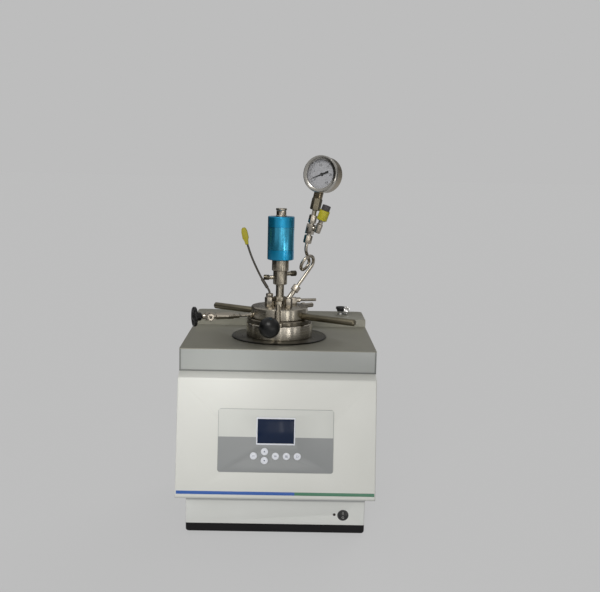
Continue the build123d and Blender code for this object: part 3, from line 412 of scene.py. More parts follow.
# ---- rear panel's screws ---------------------------------------------------------------------
# Six pan head screws with cross recesses, zinc plated, that hold the vented panel's rim.
drawn_steel, shader, place = finish("drawn_steel", Metallic=1.0)
drift = clouds(place, 22.0, 4.0)
drift.blend(seen(180, 173, 161), seen(150, 143, 131)).into(shader.inputs["Base Color"])
fine = clouds(place, 0.7, 3.0)
(0.13 + 0.10 * drift + 0.06 * fine).into(shader.inputs["Roughness"])
relief(fine, 0.25, 0.03).into(shader.inputs["Normal"])


def placed(piece, spot, material, body):
    """Move the piece's mesh to its spot, give it its finish and let it ride on a body."""
    piece.data.transform(spot)
    piece.data.materials.clear()
    piece.data.materials.append(material)
    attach(piece, body)


def edit(piece):
    """Open the piece's mesh with nothing but it selected."""
    select_only(piece)
    bpy.ops.object.mode_set(mode="EDIT")


def pick(piece, test):
    """In edit mode, select just the faces whose middle and normal pass the test."""
    bpy.ops.mesh.select_all(action="DESELECT")
    bpy.ops.object.mode_set(mode="OBJECT")
    for face in piece.data.polygons:
        face.select = bool(test(face.center, face.normal))
    bpy.ops.object.mode_set(mode="EDIT")
    bpy.ops.mesh.select_mode(type="FACE")


def pan_screw(name, radius, height):
    """A domed screw head on Z with a cross recess."""
    bpy.ops.object.select_all(action="DESELECT")
    bpy.ops.mesh.primitive_cylinder_add(
        vertices=24, radius=radius, depth=height, location=(0, 0, height / 2)
    )
    head = bpy.context.object
    head.name = name
    bpy.ops.object.transform_apply(location=True)
    edit(head)
    pick(head, lambda middle, normal: normal.z > 0.9)
    bpy.ops.mesh.inset(thickness=radius * 0.30)
    bpy.ops.transform.translate(value=(0, 0, height * 0.30))
    bpy.ops.object.mode_set(mode="OBJECT")
    for turn in (0, 90):
        bpy.ops.object.select_all(action="DESELECT")
        bpy.ops.mesh.primitive_cube_add(
            size=1.0, location=(0, 0, height * 1.4), rotation=(0, 0, math.radians(turn))
        )
        cutter = bpy.context.object
        cutter.scale = (radius * 1.15, radius * 0.26, height * 1.1)
        cut = head.modifiers.new("recess", "BOOLEAN")
        cut.operation = "DIFFERENCE"
        cut.object = cutter
        select_only(head)
        bpy.ops.object.modifier_apply(modifier=cut.name)
        bpy.data.objects.remove(cutter)
    smoothed(head, edge=radius * 60, angle=30)
    return head


PANEL_REAR = 0.206
panel_screw = pan_screw("panel_screw_pattern", radius=0.0026, height=0.0009)
backwards = Matrix.Rotation(math.radians(-90), 4, "X")
screw_spots = [(x, z) for x in (-146, 0, 146) for z in (128.5, 279.5)]
for number, (x, z) in enumerate(screw_spots, 1):
    screw = bpy.data.objects.new(f"panel_screw_{number}", panel_screw.data.copy())
    bpy.context.scene.collection.objects.link(screw)
    spot = Matrix.Translation((x / 1000, PANEL_REAR, z / 1000)) @ backwards
    placed(screw, spot @ Matrix.Rotation(math.radians(31 * number), 4, "Z"), drawn_steel, "frame")
bpy.data.objects.remove(panel_screw)


# ---- mains inlet -----------------------------------------------------------------------------
# Snap-in appliance inlet in the rear panel, glass filled black plastic with plated blades.
inlet_plastic, shader, place = finish("inlet_plastic")
x, y, z = place.axes()
blades = y.between(0.1906, 0.2018) * z.between(0.1420, 0.1525) * x.between(-0.1135, -0.0965)
moulded = clouds(place, 3.0, 3.0)
skin = moulded.blend(seen(24, 24, 25), seen(36, 36, 38))
blades.blend(skin, seen(200, 196, 182)).into(shader.inputs["Base Color"])
(1.0 * blades).into(shader.inputs["Metallic"])
(0.42 + 0.12 * moulded - 0.2 * blades).into(shader.inputs["Roughness"])
relief(clouds(place, 0.4), 0.3, 0.05).into(shader.inputs["Normal"])
dressed("power_inlet", inlet_plastic, edge=0.25)


# ---- top cover -------------------------------------------------------------------------------
# Grey coated cover with a deep lip, folded and welded at its corners, raised at the rear. Its
# top is painted a darker olive than the lip: partly its own tone, partly painted shade, as the
# lamps light the top less than the front. Round the heater it is darker still, painted shade
# and reflection of the reactor. Painted shade lines run along the lip's lower edge and its
# front corners, for the gap under the lip and its turned edges.
AXIS_Y = -0.010
COVER_TOP = 0.355
LIP_FOOT = 0.3144
LIP_CORNER = 0.1782


def from_axis(place):
    """Distance from the reactor's upright axis."""
    x, y = place.axes()[:2]
    return (x * x + (y - AXIS_Y) * (y - AXIS_Y)).through("SQRT")


cover_coat, shader, place = finish("cover_coat")
mottle = clouds(place, 90.0, 3.0)
# Painted shade and reflection of the reactor: the top darkens towards the reactor's axis.
reactor_shade = (0.165 - from_axis(place)) * 11.0
reactor_shade = reactor_shade.maths("MAXIMUM", reactor_shade.maths("MINIMUM", reactor_shade, 1.0), 0.0)
lip_grey = mottle.blend(seen(163, 165, 162), seen(158, 160, 156))
olive_top_and_shade = (0.25 * mottle + 0.75 * reactor_shade).blend(seen(140, 138, 125), seen(116, 114, 102))
x, y, z = place.axes()
# Painted shade: dark lines along the lip's lower edge and its front corners.
hem = 1.0 - (z - LIP_FOOT).through("ABSOLUTE") * 380.0
corner = 1.0 - (x.through("ABSOLUTE") - LIP_CORNER).through("ABSOLUTE") * 480.0
seam_shade = (0.85 * hem.maths("MAXIMUM", hem, corner)) * (y < -0.142)
lip_grey_and_shade = seam_shade.blend(lip_grey, seen(70, 72, 70))
# The top is painted darker than the lip, partly as painted shade.
(z > COVER_TOP - 0.0014).blend(lip_grey_and_shade, olive_top_and_shade).into(shader.inputs["Base Color"])
skin = clouds(place, 1.3)
(0.33 + 0.10 * (mottle - 0.5) + 0.06 * (skin - 0.5)).into(shader.inputs["Roughness"])
relief(skin, 0.35, 0.12).into(shader.inputs["Normal"])
dressed("top_cover", cover_coat, edge=0.3)


# ---- printed stripe --------------------------------------------------------------------------
# Self-adhesive strip across the foot of the leaning front, blue on the left, green on the right.
FRONT_FOOT = Vector((0, -0.2075, 0.095))
FRONT_LEAN = math.radians(78.847)
LEANING = Matrix.Translation(FRONT_FOOT) @ Matrix.Rotation(FRONT_LEAN, 4, "X")


def strip(name, left, right, low, high, thick):
    """A thin strip on Z with softened corners, in millimetres."""
    bpy.ops.object.select_all(action="DESELECT")
    bpy.ops.mesh.primitive_plane_add(size=0.001)
    band = bpy.context.object
    band.name = name
    band.data.transform(
        Matrix.Translation(((left + right) / 2000, (low + high) / 2000, 0))
        @ Matrix.Diagonal((right - left, high - low, 1, 1))
    )
    edit(band)
    bpy.ops.mesh.select_all(action="SELECT")
    bpy.ops.mesh.extrude_region_move(TRANSFORM_OT_translate={"value": (0, 0, thick / 1000)})
    bpy.ops.mesh.select_all(action="SELECT")
    bpy.ops.mesh.normals_make_consistent(inside=False)
    bpy.ops.object.mode_set(mode="OBJECT")
    smoothed(band, edge=thick * 0.3)
    return band


def vinyl(name, colour, faded):
    """Printed vinyl: an even colour that has faded a little, with a soft sheen."""
    material, shader, place = finish(name, Coat_Roughness=0.2)
    fade = clouds(place, 40.0, 3.0)
    fade.blend(colour, faded).into(shader.inputs["Base Color"])
    (0.30 + 0.10 * fade).into(shader.inputs["Roughness"])
    relief(clouds(place, 0.8), 0.15, 0.05).into(shader.inputs["Normal"])
    return material


FRONT_HALF, STRIPE_SPLIT = 177.8, 34.3
stripe_edges = {"low": 7.4, "high": 13.2, "thick": 0.12}
placed(
    strip("stripe_blue", -FRONT_HALF, STRIPE_SPLIT, **stripe_edges),
    LEANING, vinyl("stripe_blue_vinyl", seen(46, 88, 162), seen(56, 96, 166)), "frame",
)
placed(
    strip("stripe_green", STRIPE_SPLIT, FRONT_HALF, **stripe_edges),
    LEANING, vinyl("stripe_green_vinyl", seen(68, 118, 92), seen(78, 126, 100)), "frame",
)


# ---- keypad overlay --------------------------------------------------------------------------
# Printed polyester overlay bonded to the leaning front: pale above a line, mid grey below it,
# with a fine darker border where the print stops short of the cut edge.
overlay_print, shader, place = finish("overlay_print", Coat_Weight=0.15, Coat_Roughness=0.3)
moved = place.node("ShaderNodeVectorMath", {"operation": "ADD"}, {0: place, 1: -FRONT_FOOT}, 0)
laid_back = {"Vector": moved, "Rotation": (-FRONT_LEAN, 0, 0)}
flat = moved.node("ShaderNodeMapping", {"vector_type": "POINT"}, laid_back, "Vector")
u, v = flat.axes()[:2]
lower = v < 0.1107
across = u.between(-0.1042, 0.1022) * v.between(0.0482, 0.1602)
drift = clouds(place, 60.0)
pale = drift.blend(seen(206, 207, 201), seen(199, 200, 194))
grey = drift.blend(seen(143, 145, 145), seen(137, 139, 138))
across.blend(seen(150, 151, 149), lower.blend(pale, grey)).into(shader.inputs["Base Color"])
(0.34 + 0.10 * clouds(place, 12.0)).into(shader.inputs["Roughness"])
relief(clouds(place, 0.45), 0.3, 0.03).into(shader.inputs["Normal"])
dressed("keypad_overlay", overlay_print, edge=0.15)


# ---- display ---------------------------------------------------------------------------------
# White moulded bezel round a dark blue liquid crystal screen, its cells a faint fine grid.
bezel_plastic, shader, place = finish("bezel_plastic")
tone = clouds(place, 25.0)
tone.blend(seen(224, 226, 232), seen(214, 216, 221)).into(shader.inputs["Base Color"])
(0.30 + 0.08 * tone).into(shader.inputs["Roughness"])
relief(clouds(place, 0.5), 0.2, 0.03).into(shader.inputs["Normal"])
dressed("display_bezel", bezel_plastic, edge=0.3)

screen_cells, shader, place = finish("screen_cells", Specular_IOR_Level=0.22)
x, y, z = place.axes()
cell = 0.0011
column = (x * (1 / cell)).through("FRACT").between(0.08, 0.92)
row = (z * (1 / cell)).through("FRACT").between(0.08, 0.92)
lit = (column * row) * (0.75 + 0.25 * clouds(place, 30.0))
lit.blend(seen(19, 30, 50), seen(24, 37, 62)).into(shader.inputs["Base Color"])
(0.10 + 0.10 * clouds(place, 18.0)).into(shader.inputs["Roughness"])
dressed("display_screen", screen_cells, edge=0.2)


# ---- control board ---------------------------------------------------------------------------
# Glass fibre board behind the overlay, green solder resist with the weave showing through it.
resist, shader, place = finish("board_resist")
x, y, z = place.axes()
threads = 9000.0
weave = (x * threads).through("SINE") * (z * threads).through("SINE")
(0.5 + 0.5 * weave).blend(seen(24, 74, 46), seen(34, 92, 58)).into(shader.inputs["Base Color"])
(0.34 + 0.12 * clouds(place, 8.0)).into(shader.inputs["Roughness"])
relief(weave, 0.2, 0.05).into(shader.inputs["Normal"])
faced(resist, "control_board")


# ---- keys ------------------------------------------------------------------------------------
# Six round white key caps. Each rides on its own switch, and each carries a printed mark:
# two arrows on the pair, plain bars and rings on the others.
key_plastic, shader, place = finish("key_plastic")
tone = clouds(place, 4.0)
tone.blend(seen(226, 228, 233), seen(212, 214, 220)).into(shader.inputs["Base Color"])
(0.32 + 0.10 * tone).into(shader.inputs["Roughness"])
relief(clouds(place, 0.3), 0.2, 0.03).into(shader.inputs["Normal"])
ink, shader, place = finish("key_ink")
tone = clouds(place, 1.0)
tone.blend(seen(70, 74, 94), seen(96, 100, 118)).into(shader.inputs["Base Color"])
(0.5 + 0.2 * tone).into(shader.inputs["Roughness"])

key_spots = [(-40.5, 77.0), (-20.8, 84.9), (-20.8, 69.1), (-1.1, 77.0), (18.6, 77.0), (38.3, 77.0)]
for number in range(1, len(key_spots) + 1):
    dressed(f"key_{number}", key_plastic, edge=0.25)


def thickened(mark, thick):
    """Give a flat printed mark its small thickness and outward faces."""
    edit(mark)
    bpy.ops.mesh.select_all(action="SELECT")
    bpy.ops.mesh.extrude_region_move(TRANSFORM_OT_translate={"value": (0, 0, thick)})
    bpy.ops.mesh.select_all(action="SELECT")
    bpy.ops.mesh.normals_make_consistent(inside=False)
    bpy.ops.object.mode_set(mode="OBJECT")


def arrow_mark(name, turned_by):
    """A small filled triangle that points along Y before it is turned."""
    bpy.ops.object.select_all(action="DESELECT")
    bpy.ops.mesh.primitive_circle_add(vertices=3, radius=0.0019, fill_type="NGON")
    mark = bpy.context.object
    mark.name = name
    mark.data.transform(Matrix.Rotation(math.radians(turned_by), 4, "Z"))
    return mark


def ring_mark(name):
    """A small printed ring with a bar through it."""
    bpy.ops.object.select_all(action="DESELECT")
    bpy.ops.mesh.primitive_circle_add(vertices=28, radius=0.0022, fill_type="NGON")
    mark = bpy.context.object
    mark.name = name
    edit(mark)
    bpy.ops.mesh.select_all(action="SELECT")
    bpy.ops.mesh.inset(thickness=0.0005)
    bpy.ops.mesh.delete(type="FACE")
    bpy.ops.object.mode_set(mode="OBJECT")
    return mark


def bar_mark(name, bars):
    """One to three short printed bars, one over another."""
    bpy.ops.object.select_all(action="DESELECT")
    bpy.ops.mesh.primitive_plane_add(size=1.0)
    mark = bpy.context.object
    mark.name = name
    mark.data.transform(Matrix.Diagonal((0.0050, 0.0007, 1, 1)))
    rows = mark.modifiers.new("rows", "ARRAY")
    rows.use_relative_offset = False
    rows.use_constant_offset = True
    rows.constant_offset_displace = (0, 0.0015, 0)
    rows.count = bars
    select_only(mark)
    bpy.ops.object.modifier_apply(modifier=rows.name)
    mark.data.transform(Matrix.Translation((0, -0.00075 * (bars - 1), 0)))
    return mark


marks = [
    bar_mark("key_mark_1", 1), arrow_mark("key_mark_2", 0), arrow_mark("key_mark_3", 180),
    bar_mark("key_mark_4", 2), bar_mark("key_mark_5", 3), ring_mark("key_mark_6"),
]
KEY_PROUD = 0.00171
MARK_THICK = 0.00004
for number, ((u, v), mark) in enumerate(zip(key_spots, marks), 1):
    thickened(mark, MARK_THICK)
    spot = LEANING @ Matrix.Translation((u / 1000, v / 1000, KEY_PROUD))
    placed(mark, spot, ink, f"key_{number}")


# ---- power switch and lamp -------------------------------------------------------------------
# Round rocker in a snap-in barrel with its two white marks, beside a small unlit indicator.
switch_plastic, shader, place = finish("switch_plastic")
tone = clouds(place, 5.0)
tone.blend(seen(22, 22, 23), seen(34, 34, 35)).into(shader.inputs["Base Color"])
(0.28 + 0.14 * tone).into(shader.inputs["Roughness"])
relief(clouds(place, 0.35), 0.3, 0.03).into(shader.inputs["Normal"])
barrel_plastic, shader, place = finish("barrel_plastic")
tone = clouds(place, 5.0)
tone.blend(seen(48, 48, 49), seen(62, 62, 62)).into(shader.inputs["Base Color"])
(0.40 + 0.14 * tone).into(shader.inputs["Roughness"])
relief(clouds(place, 0.35), 0.3, 0.03).into(shader.inputs["Normal"])
dressed("switch_bezel", barrel_plastic, edge=0.2)
dressed("switch_rocker", switch_plastic, edge=0.25)

white_ink, shader, place = finish("switch_ink")
tone = clouds(place, 1.0)
tone.blend(seen(206, 206, 202), seen(182, 182, 178)).into(shader.inputs["Base Color"])
(0.5 + 0.2 * tone).into(shader.inputs["Roughness"])
ROCKER_TILT = 8
ridge = (
    Matrix.Translation((0.1274, -0.140, 0.0394))
    @ Matrix.Rotation(math.radians(90 - ROCKER_TILT), 4, "X")
    @ Matrix.Translation((0, 0, 0.0022))
)
on_mark, off_mark = bar_mark("switch_mark_on", 1), ring_mark("switch_mark_off")
on_mark.data.transform(Matrix.Rotation(math.radians(90), 4, "Z"))
for mark, side in ((on_mark, 1), (off_mark, -1)):
    thickened(mark, MARK_THICK)
    half = Matrix.Rotation(math.radians(-ROCKER_TILT * side), 4, "X")
    spot = ridge @ half @ Matrix.Translation((0, 0.0042 * side, 0.00001))
    placed(mark, spot, white_ink, "rocker")

lamp_lens, shader, place = finish("lamp_lens", Coat_Weight=0.5, Coat_Roughness=0.08)
tone = clouds(place, 1.5)
tone.blend(seen(38, 34, 34), seen(58, 44, 42)).into(shader.inputs["Base Color"])
(0.16 + 0.10 * tone).into(shader.inputs["Roughness"])
dressed("power_led", lamp_lens, edge=0.1)


# ---- heater can ------------------------------------------------------------------------------
# Spun steel can hanging in the cover by its broad flange. The flange has browned with heat
# and keeps the fine rings of the lathe. Its outer rim is painted near black, a painted shade
# of the gap under its edge.
REACTOR = Matrix.Translation((0, AXIS_Y, COVER_TOP))


def lathe_rings(place, pitch):
    """Fine uneven rings round the reactor's upright axis, on flat faces and walls alike."""
    settings = {"W": from_axis(place) + place.axes()[2], "Scale": 1000.0 / pitch, "Detail": 3.0}
    return place.node("ShaderNodeTexNoise", {"noise_dimensions": "1D"}, settings, "Fac")


def turned_steel(name, bright, dull, gloss, pitch, mark, outer=(1.0, seen(0, 0, 0))):
    """Stainless steel as turned: rings from the tool, stains, a tint beyond some radius."""
    material, shader, place = finish(name, Metallic=1.0, Anisotropic=0.9, Anisotropic_Rotation=0.25)
    rings = lathe_rings(place, pitch)
    stain = clouds(place, 26.0, 4.0)
    skin = (0.55 * stain + 0.45 * rings).blend(bright, dull)
    (from_axis(place) > outer[0]).blend(skin, outer[1]).into(shader.inputs["Base Color"])
    (gloss + 0.10 * (stain - 0.5) + 0.14 * (rings - 0.5)).into(shader.inputs["Roughness"])
    relief(rings, mark, 0.04).into(shader.inputs["Normal"])
    return material


flange_steel = turned_steel(
    "flange_steel", seen(104, 100, 87), seen(72, 69, 60), gloss=0.30, pitch=1.6, mark=0.3,
    # Painted shade: beyond 88.5 mm from the axis the flange is near black, for the gap under its
    # edge.
    outer=(0.0885, seen(30, 28, 25)),
)
dressed("heater_can", flange_steel, edge=0.3)


# ---- heater inside the can -------------------------------------------------------------------
# Mineral wool, a mica band heater and the aluminium block that it clamps, out of sight.
wool, shader, place = finish("wool")
fibre = clouds(place, 2.0, 6.0)
fibre.blend(seen(196, 188, 160), seen(226, 220, 198)).into(shader.inputs["Base Color"])
(0.85 + 0.1 * fibre).into(shader.inputs["Roughness"])
relief(fibre, 0.8, 1.0).into(shader.inputs["Normal"])
faced(wool, "insulation")
band_metal, shader, place = finish("band_metal", Metallic=1.0)
heat = clouds(place, 14.0, 4.0)
heat.blend(seen(150, 132, 108), seen(112, 106, 110)).into(shader.inputs["Base Color"])
(0.38 + 0.15 * heat).into(shader.inputs["Roughness"])
faced(band_metal, "band_heater")
block_metal = turned_steel(
    "block_metal", seen(212, 213, 215), seen(190, 191, 194), gloss=0.40, pitch=1.2, mark=0.3
)
faced(block_metal, "heater_block")


# ---- vessel ----------------------------------------------------------------------------------
# Heavy stainless vessel. Its broad collar stands on the flange and holds the lock ring.
body_steel = turned_steel(
    "body_steel", seen(206, 200, 188), seen(180, 173, 160), gloss=0.25, pitch=0.9, mark=0.12
)
dressed("vessel", body_steel, edge=0.35)
dressed("head_plug", body_steel, edge=0.2)
packing, shader, place = finish("packing")
leaf = clouds(place, 2.5, 4.0)
leaf.blend(seen(52, 52, 54), seen(76, 76, 78)).into(shader.inputs["Base Color"])
(0.5 + 0.2 * leaf).into(shader.inputs["Roughness"])
faced(packing, "head_gasket")


# ---- head ------------------------------------------------------------------------------------
# Stainless head over the lock ring, a little duller, with all the fittings screwed into it.
head_steel = turned_steel(
    "head_steel", seen(182, 176, 163), seen(158, 151, 138), gloss=0.25, pitch=0.9, mark=0.12
)
dressed("head", head_steel, edge=0.35)


# ---- lock ring -------------------------------------------------------------------------------
# Stainless ring that turns under the head and locks its lugs in the collar. Its rim is
# knurled for grip, and an ear and a stud stand at its front.
ring_steel = turned_steel(
    "ring_steel", seen(160, 153, 139), seen(132, 125, 112), gloss=0.26, pitch=0.9, mark=0.15
)
dressed("lock_ring", ring_steel, edge=0.3)

RING_RADIUS = 0.0625
KNURL_FOOT, KNURL_STEP, KNURL_STEPS = 0.0306, 0.00153, 4
KNURL_TEETH, KNURL_PROUD = 150, 0.00028
bpy.ops.object.select_all(action="DESELECT")
bpy.ops.mesh.primitive_circle_add(vertices=2 * KNURL_TEETH, radius=RING_RADIUS - 0.00001)
knurl = bpy.context.object
knurl.name = "ring_knurl"
knurl.data.transform(Matrix.Translation((0, 0, KNURL_FOOT)))
edit(knurl)
bpy.ops.mesh.select_mode(type="EDGE")
bpy.ops.mesh.select_all(action="SELECT")
for step in range(KNURL_STEPS):
    bpy.ops.mesh.extrude_region_move(TRANSFORM_OT_translate={"value": (0, 0, KNURL_STEP)})
bpy.ops.object.mode_set(mode="OBJECT")
for vertex in knurl.data.vertices:
    level = round((vertex.co.z - KNURL_FOOT) / KNURL_STEP)
    tooth = round(math.atan2(vertex.co.y, vertex.co.x) / math.pi * KNURL_TEETH)
    proud = KNURL_PROUD if (tooth + level) % 2 and 0 < level < KNURL_STEPS else 0.0
    vertex.co.xy *= 1 + proud / RING_RADIUS
thick = knurl.modifiers.new("thick", "SOLIDIFY")
thick.thickness = 0.0004
thick.offset = -1.0
select_only(knurl)
bpy.ops.object.modifier_apply(modifier=thick.name)
bpy.ops.object.shade_smooth_by_angle(angle=math.radians(20))
knurl_steel = turned_steel(
    "knurl_steel", seen(118, 112, 100), seen(92, 87, 77), gloss=0.28, pitch=0.9, mark=0.15
)
placed(knurl, REACTOR, knurl_steel, "lock_ring")


# ---- ball lever ------------------------------------------------------------------------------
# Polished rod screwed into the ear, with a black phenolic ball pressed on its end.
dressed("ball_lever", drawn_steel, edge=0.2)
ball_resin, shader, place = finish("ball_resin", Specular_IOR_Level=0.36)
handled = clouds(place, 14.0, 4.0)
handled.blend(seen(3, 3, 3), seen(9, 9, 8)).into(shader.inputs["Base Color"])
(0.30 + 0.12 * handled).into(shader.inputs["Roughness"])
relief(clouds(place, 0.8, 3.0), 0.3, 0.05).into(shader.inputs["Normal"])
dressed("ball_knob", ball_resin, edge=0.4)


# ---- head bars -------------------------------------------------------------------------------
# Two plain bars screwed into the head opposite each other, dulled by handling, with bright
# turned ends.
bar_steel, shader, place = finish("bar_steel", Metallic=1.0)
dulled = clouds(place, 16.0, 4.0)
dulled.blend(seen(134, 128, 110), seen(102, 96, 82)).into(shader.inputs["Base Color"])
(0.34 + 0.14 * dulled).into(shader.inputs["Roughness"])
relief(clouds(place, 0.6, 3.0), 0.25, 0.03).into(shader.inputs["Normal"])
dressed("lever_bars", bar_steel, edge=0.2)


# ---- stirrer neck, cooling jacket and magnetic can -------------------------------------------
# Turned stainless parts on the reactor's axis: the neck with its nut, the water jacket with
# two hose nipples, and the collar that carries the drive.
jacket_steel = turned_steel(
    "jacket_steel", seen(170, 163, 149), seen(140, 133, 119), gloss=0.24, pitch=0.9, mark=0.15,
    outer=(0.0225, seen(88, 84, 72)),
)
dressed("stirrer_neck", jacket_steel, edge=0.25)
dressed("cooling_jacket", jacket_steel, edge=0.25)
dressed("pressure_can", jacket_steel, edge=0.25)
bronze, shader, place = finish("bush_bronze", Metallic=1.0)
oiled = clouds(place, 3.0, 3.0)
oiled.blend(seen(176, 138, 82), seen(138, 104, 62)).into(shader.inputs["Base Color"])
(0.3 + 0.15 * oiled).into(shader.inputs["Roughness"])
faced(bronze, "shaft_bushes")
faced(drawn_steel, "stirrer_shaft", "inner_rotor")
magnet, shader, place = finish("magnet_iron", Metallic=0.8)
sinter = clouds(place, 1.2, 4.0)
sinter.blend(seen(74, 74, 78), seen(104, 104, 108)).into(shader.inputs["Base Color"])
(0.5 + 0.2 * sinter).into(shader.inputs["Roughness"])
faced(magnet, "drive_rotor")
motor_can, shader, place = finish("motor_can", Metallic=1.0)
plating = clouds(place, 10.0, 3.0)
plating.blend(seen(168, 170, 172), seen(146, 148, 150)).into(shader.inputs["Base Color"])
(0.32 + 0.12 * plating).into(shader.inputs["Roughness"])
faced(motor_can, "drive_motor")


# ---- drive housing ---------------------------------------------------------------------------
# Aluminium tube, turned and anodised bright blue. A wide band round its middle is polished
# finer than the ends, between two hair lines.
BAND_LOW, BAND_HIGH, HAIR = 0.5260, 0.5697, 0.0003
anodised, shader, place = finish(
    "blue_anodised", Metallic=0.85, Coat_Weight=0.35, Coat_Roughness=0.12
)
z = place.axes()[2]
band = z.between(BAND_LOW, BAND_HIGH)
hair = z.between(BAND_LOW - HAIR, BAND_LOW + HAIR) + z.between(BAND_HIGH - HAIR, BAND_HIGH + HAIR)
rings = lathe_rings(place, 0.8)
depth = clouds(place, 18.0, 3.0)
dye = (0.6 * depth + 0.4 * rings).blend(seen(26, 158, 202), seen(18, 132, 178))
pale_dye = rings.blend(seen(84, 172, 196), seen(62, 150, 178))
dye = (0.55 * band).blend(dye, pale_dye)
(0.6 * hair).blend(dye, seen(12, 62, 96)).into(shader.inputs["Base Color"])
(0.26 + 0.10 * rings - 0.10 * band).into(shader.inputs["Roughness"])
relief(rings, 0.18, 0.03).into(shader.inputs["Normal"])
dressed("drive_housing", anodised, edge=0.3)
dressed("drive_connector", drawn_steel, edge=0.25)


# ---- temperature probe -----------------------------------------------------------------------
# Thermowell with its gland nuts, a bent mineral insulated sheath and a flat yellow plug.
dressed("thermowell", drawn_steel, edge=0.25)
sheath_steel, shader, place = finish("sheath_steel", Metallic=1.0)
dulled = clouds(place, 12.0, 4.0)
dulled.blend(seen(104, 100, 93), seen(80, 77, 71)).into(shader.inputs["Base Color"])
(0.26 + 0.12 * dulled).into(shader.inputs["Roughness"])
dressed("probe_sheath", sheath_steel)
yellow, shader, place = finish("yellow_plastic")
tint = clouds(place, 5.0, 3.0)
tint.blend(seen(174, 164, 40), seen(152, 142, 24)).into(shader.inputs["Base Color"])
(0.34 + 0.14 * tint).into(shader.inputs["Roughness"])
relief(clouds(place, 0.5), 0.3, 0.04).into(shader.inputs["Normal"])
dressed("probe_plug", yellow, edge=0.5)


# ---- needle valve and ports ------------------------------------------------------------------
# Turned valve body with hexagons and a forward gas port, and a fluted phenolic handwheel.
dressed("valve_body", drawn_steel, edge=0.2)
dressed("valve_handwheel", ball_resin, edge=0.4)
dressed("outlet_port", drawn_steel, edge=0.2)
dressed("sample_elbow", drawn_steel, edge=0.2)


# ---- pressure line ---------------------------------------------------------------------------
# Swivel adaptor, siphon tube with its loop, tee with relief valve, and the gauge's adaptor.
dressed("line_adaptor", drawn_steel, edge=0.25)
dressed("siphon_tube", drawn_steel)
dressed("line_tee", drawn_steel, edge=0.25)
dressed("gauge_adaptor", bar_steel, edge=0.3)
GAUGE_TURN = math.radians(-28)
RISER = (
    REACTOR
    @ Matrix.Translation((0.0528, -0.006, 0.1954))
    @ Matrix.Rotation(math.radians(12), 4, "Y")
)
relief_steel, shader, place = finish("relief_steel")
relief_frame = (
    RISER
    @ Matrix.Rotation(GAUGE_TURN, 4, "Z")
    @ Matrix.Translation((0.0165, 0, 0.0224))
    @ Matrix.Rotation(math.radians(8), 4, "Y")
)
upwards = relief_frame.to_3x3() @ Vector((0, 0, 1))
cap = place.along(upwards) > upwards.dot(relief_frame.translation) + 0.0355
drift = clouds(place, 9.0, 4.0)
bare = drift.blend(seen(172, 165, 153), seen(144, 137, 125))
cap.blend(bare, seen(66, 63, 64)).into(shader.inputs["Base Color"])
(1.0 - cap).into(shader.inputs["Metallic"])
(0.24 + 0.12 * drift + 0.18 * cap).into(shader.inputs["Roughness"])
relief(clouds(place, 0.6, 3.0), 0.25, 0.03).into(shader.inputs["Normal"])
dressed("relief_valve", relief_steel, edge=0.2)

knurled, shader, place = finish("yellow_knurl")
dots = []
for side in ((1, 0, 0), (0, 1, 0), (0, 0, 1)):
    way = relief_frame.to_3x3() @ Vector(side)
    dots.append((place.along(way) * 2000.0).through("SINE"))
knurl_height = 0.5 + 0.5 * (dots[0] + dots[1]) * dots[2]
knurl_height.blend(seen(118, 110, 18), seen(214, 204, 40)).into(shader.inputs["Base Color"])
(0.34 + 0.14 * knurl_height).into(shader.inputs["Roughness"])
relief(knurl_height, 0.5, 0.3).into(shader.inputs["Normal"])
dressed("relief_band", knurled, edge=0.4)


# ---- gauge -----------------------------------------------------------------------------------
# Dial gauge in a deep pressed case with a rolled bezel. The card has a black scale of 270
# degrees with plain numbers, and the pointer rests just over its lowest mark.
case_steel, shader, place = finish("case_steel", Metallic=1.0)
worn = clouds(place, 18.0, 4.0)
DIAL = (
    RISER
    @ Matrix.Translation((0, 0, 0.1243))
    @ Matrix.Rotation(GAUGE_TURN, 4, "Z")
    @ Matrix.Rotation(math.radians(90), 4, "X")
    @ Matrix.Translation((0, 0, 0.00503))
)
facing = DIAL.to_3x3() @ Vector((0, 0, 1))
rolled_edge = place.along(facing) > facing.dot(DIAL.translation) + 0.0045
browned = worn.blend(seen(158, 145, 122), seen(124, 112, 90))
bright = worn.blend(seen(190, 187, 181), seen(160, 157, 150))
rolled_edge.blend(browned, bright).into(shader.inputs["Base Color"])
(0.16 + 0.12 * worn).into(shader.inputs["Roughness"])
relief(clouds(place, 0.6, 3.0), 0.2, 0.03).into(shader.inputs["Normal"])
dressed("gauge_case", case_steel, edge=0.3)

dial_card, shader, place = finish("dial_card", Roughness=0.6)
card = clouds(place, 9.0, 3.0)
card.blend(seen(186, 186, 189), seen(176, 176, 179)).into(shader.inputs["Base Color"])
(0.55 + 0.1 * card).into(shader.inputs["Roughness"])
dressed("gauge_dial", dial_card)

dial_ink, shader, place = finish("dial_ink")
tone = clouds(place, 1.0)
tone.blend(seen(14, 14, 16), seen(26, 26, 30)).into(shader.inputs["Base Color"])
(0.5 + 0.2 * tone).into(shader.inputs["Roughness"])


def joined(name, parts):
    """Several small marks made one piece."""
    select_only(parts[0])
    for part in parts:
        part.select_set(True)
    bpy.ops.object.join()
    parts[0].name = name
    return parts[0]


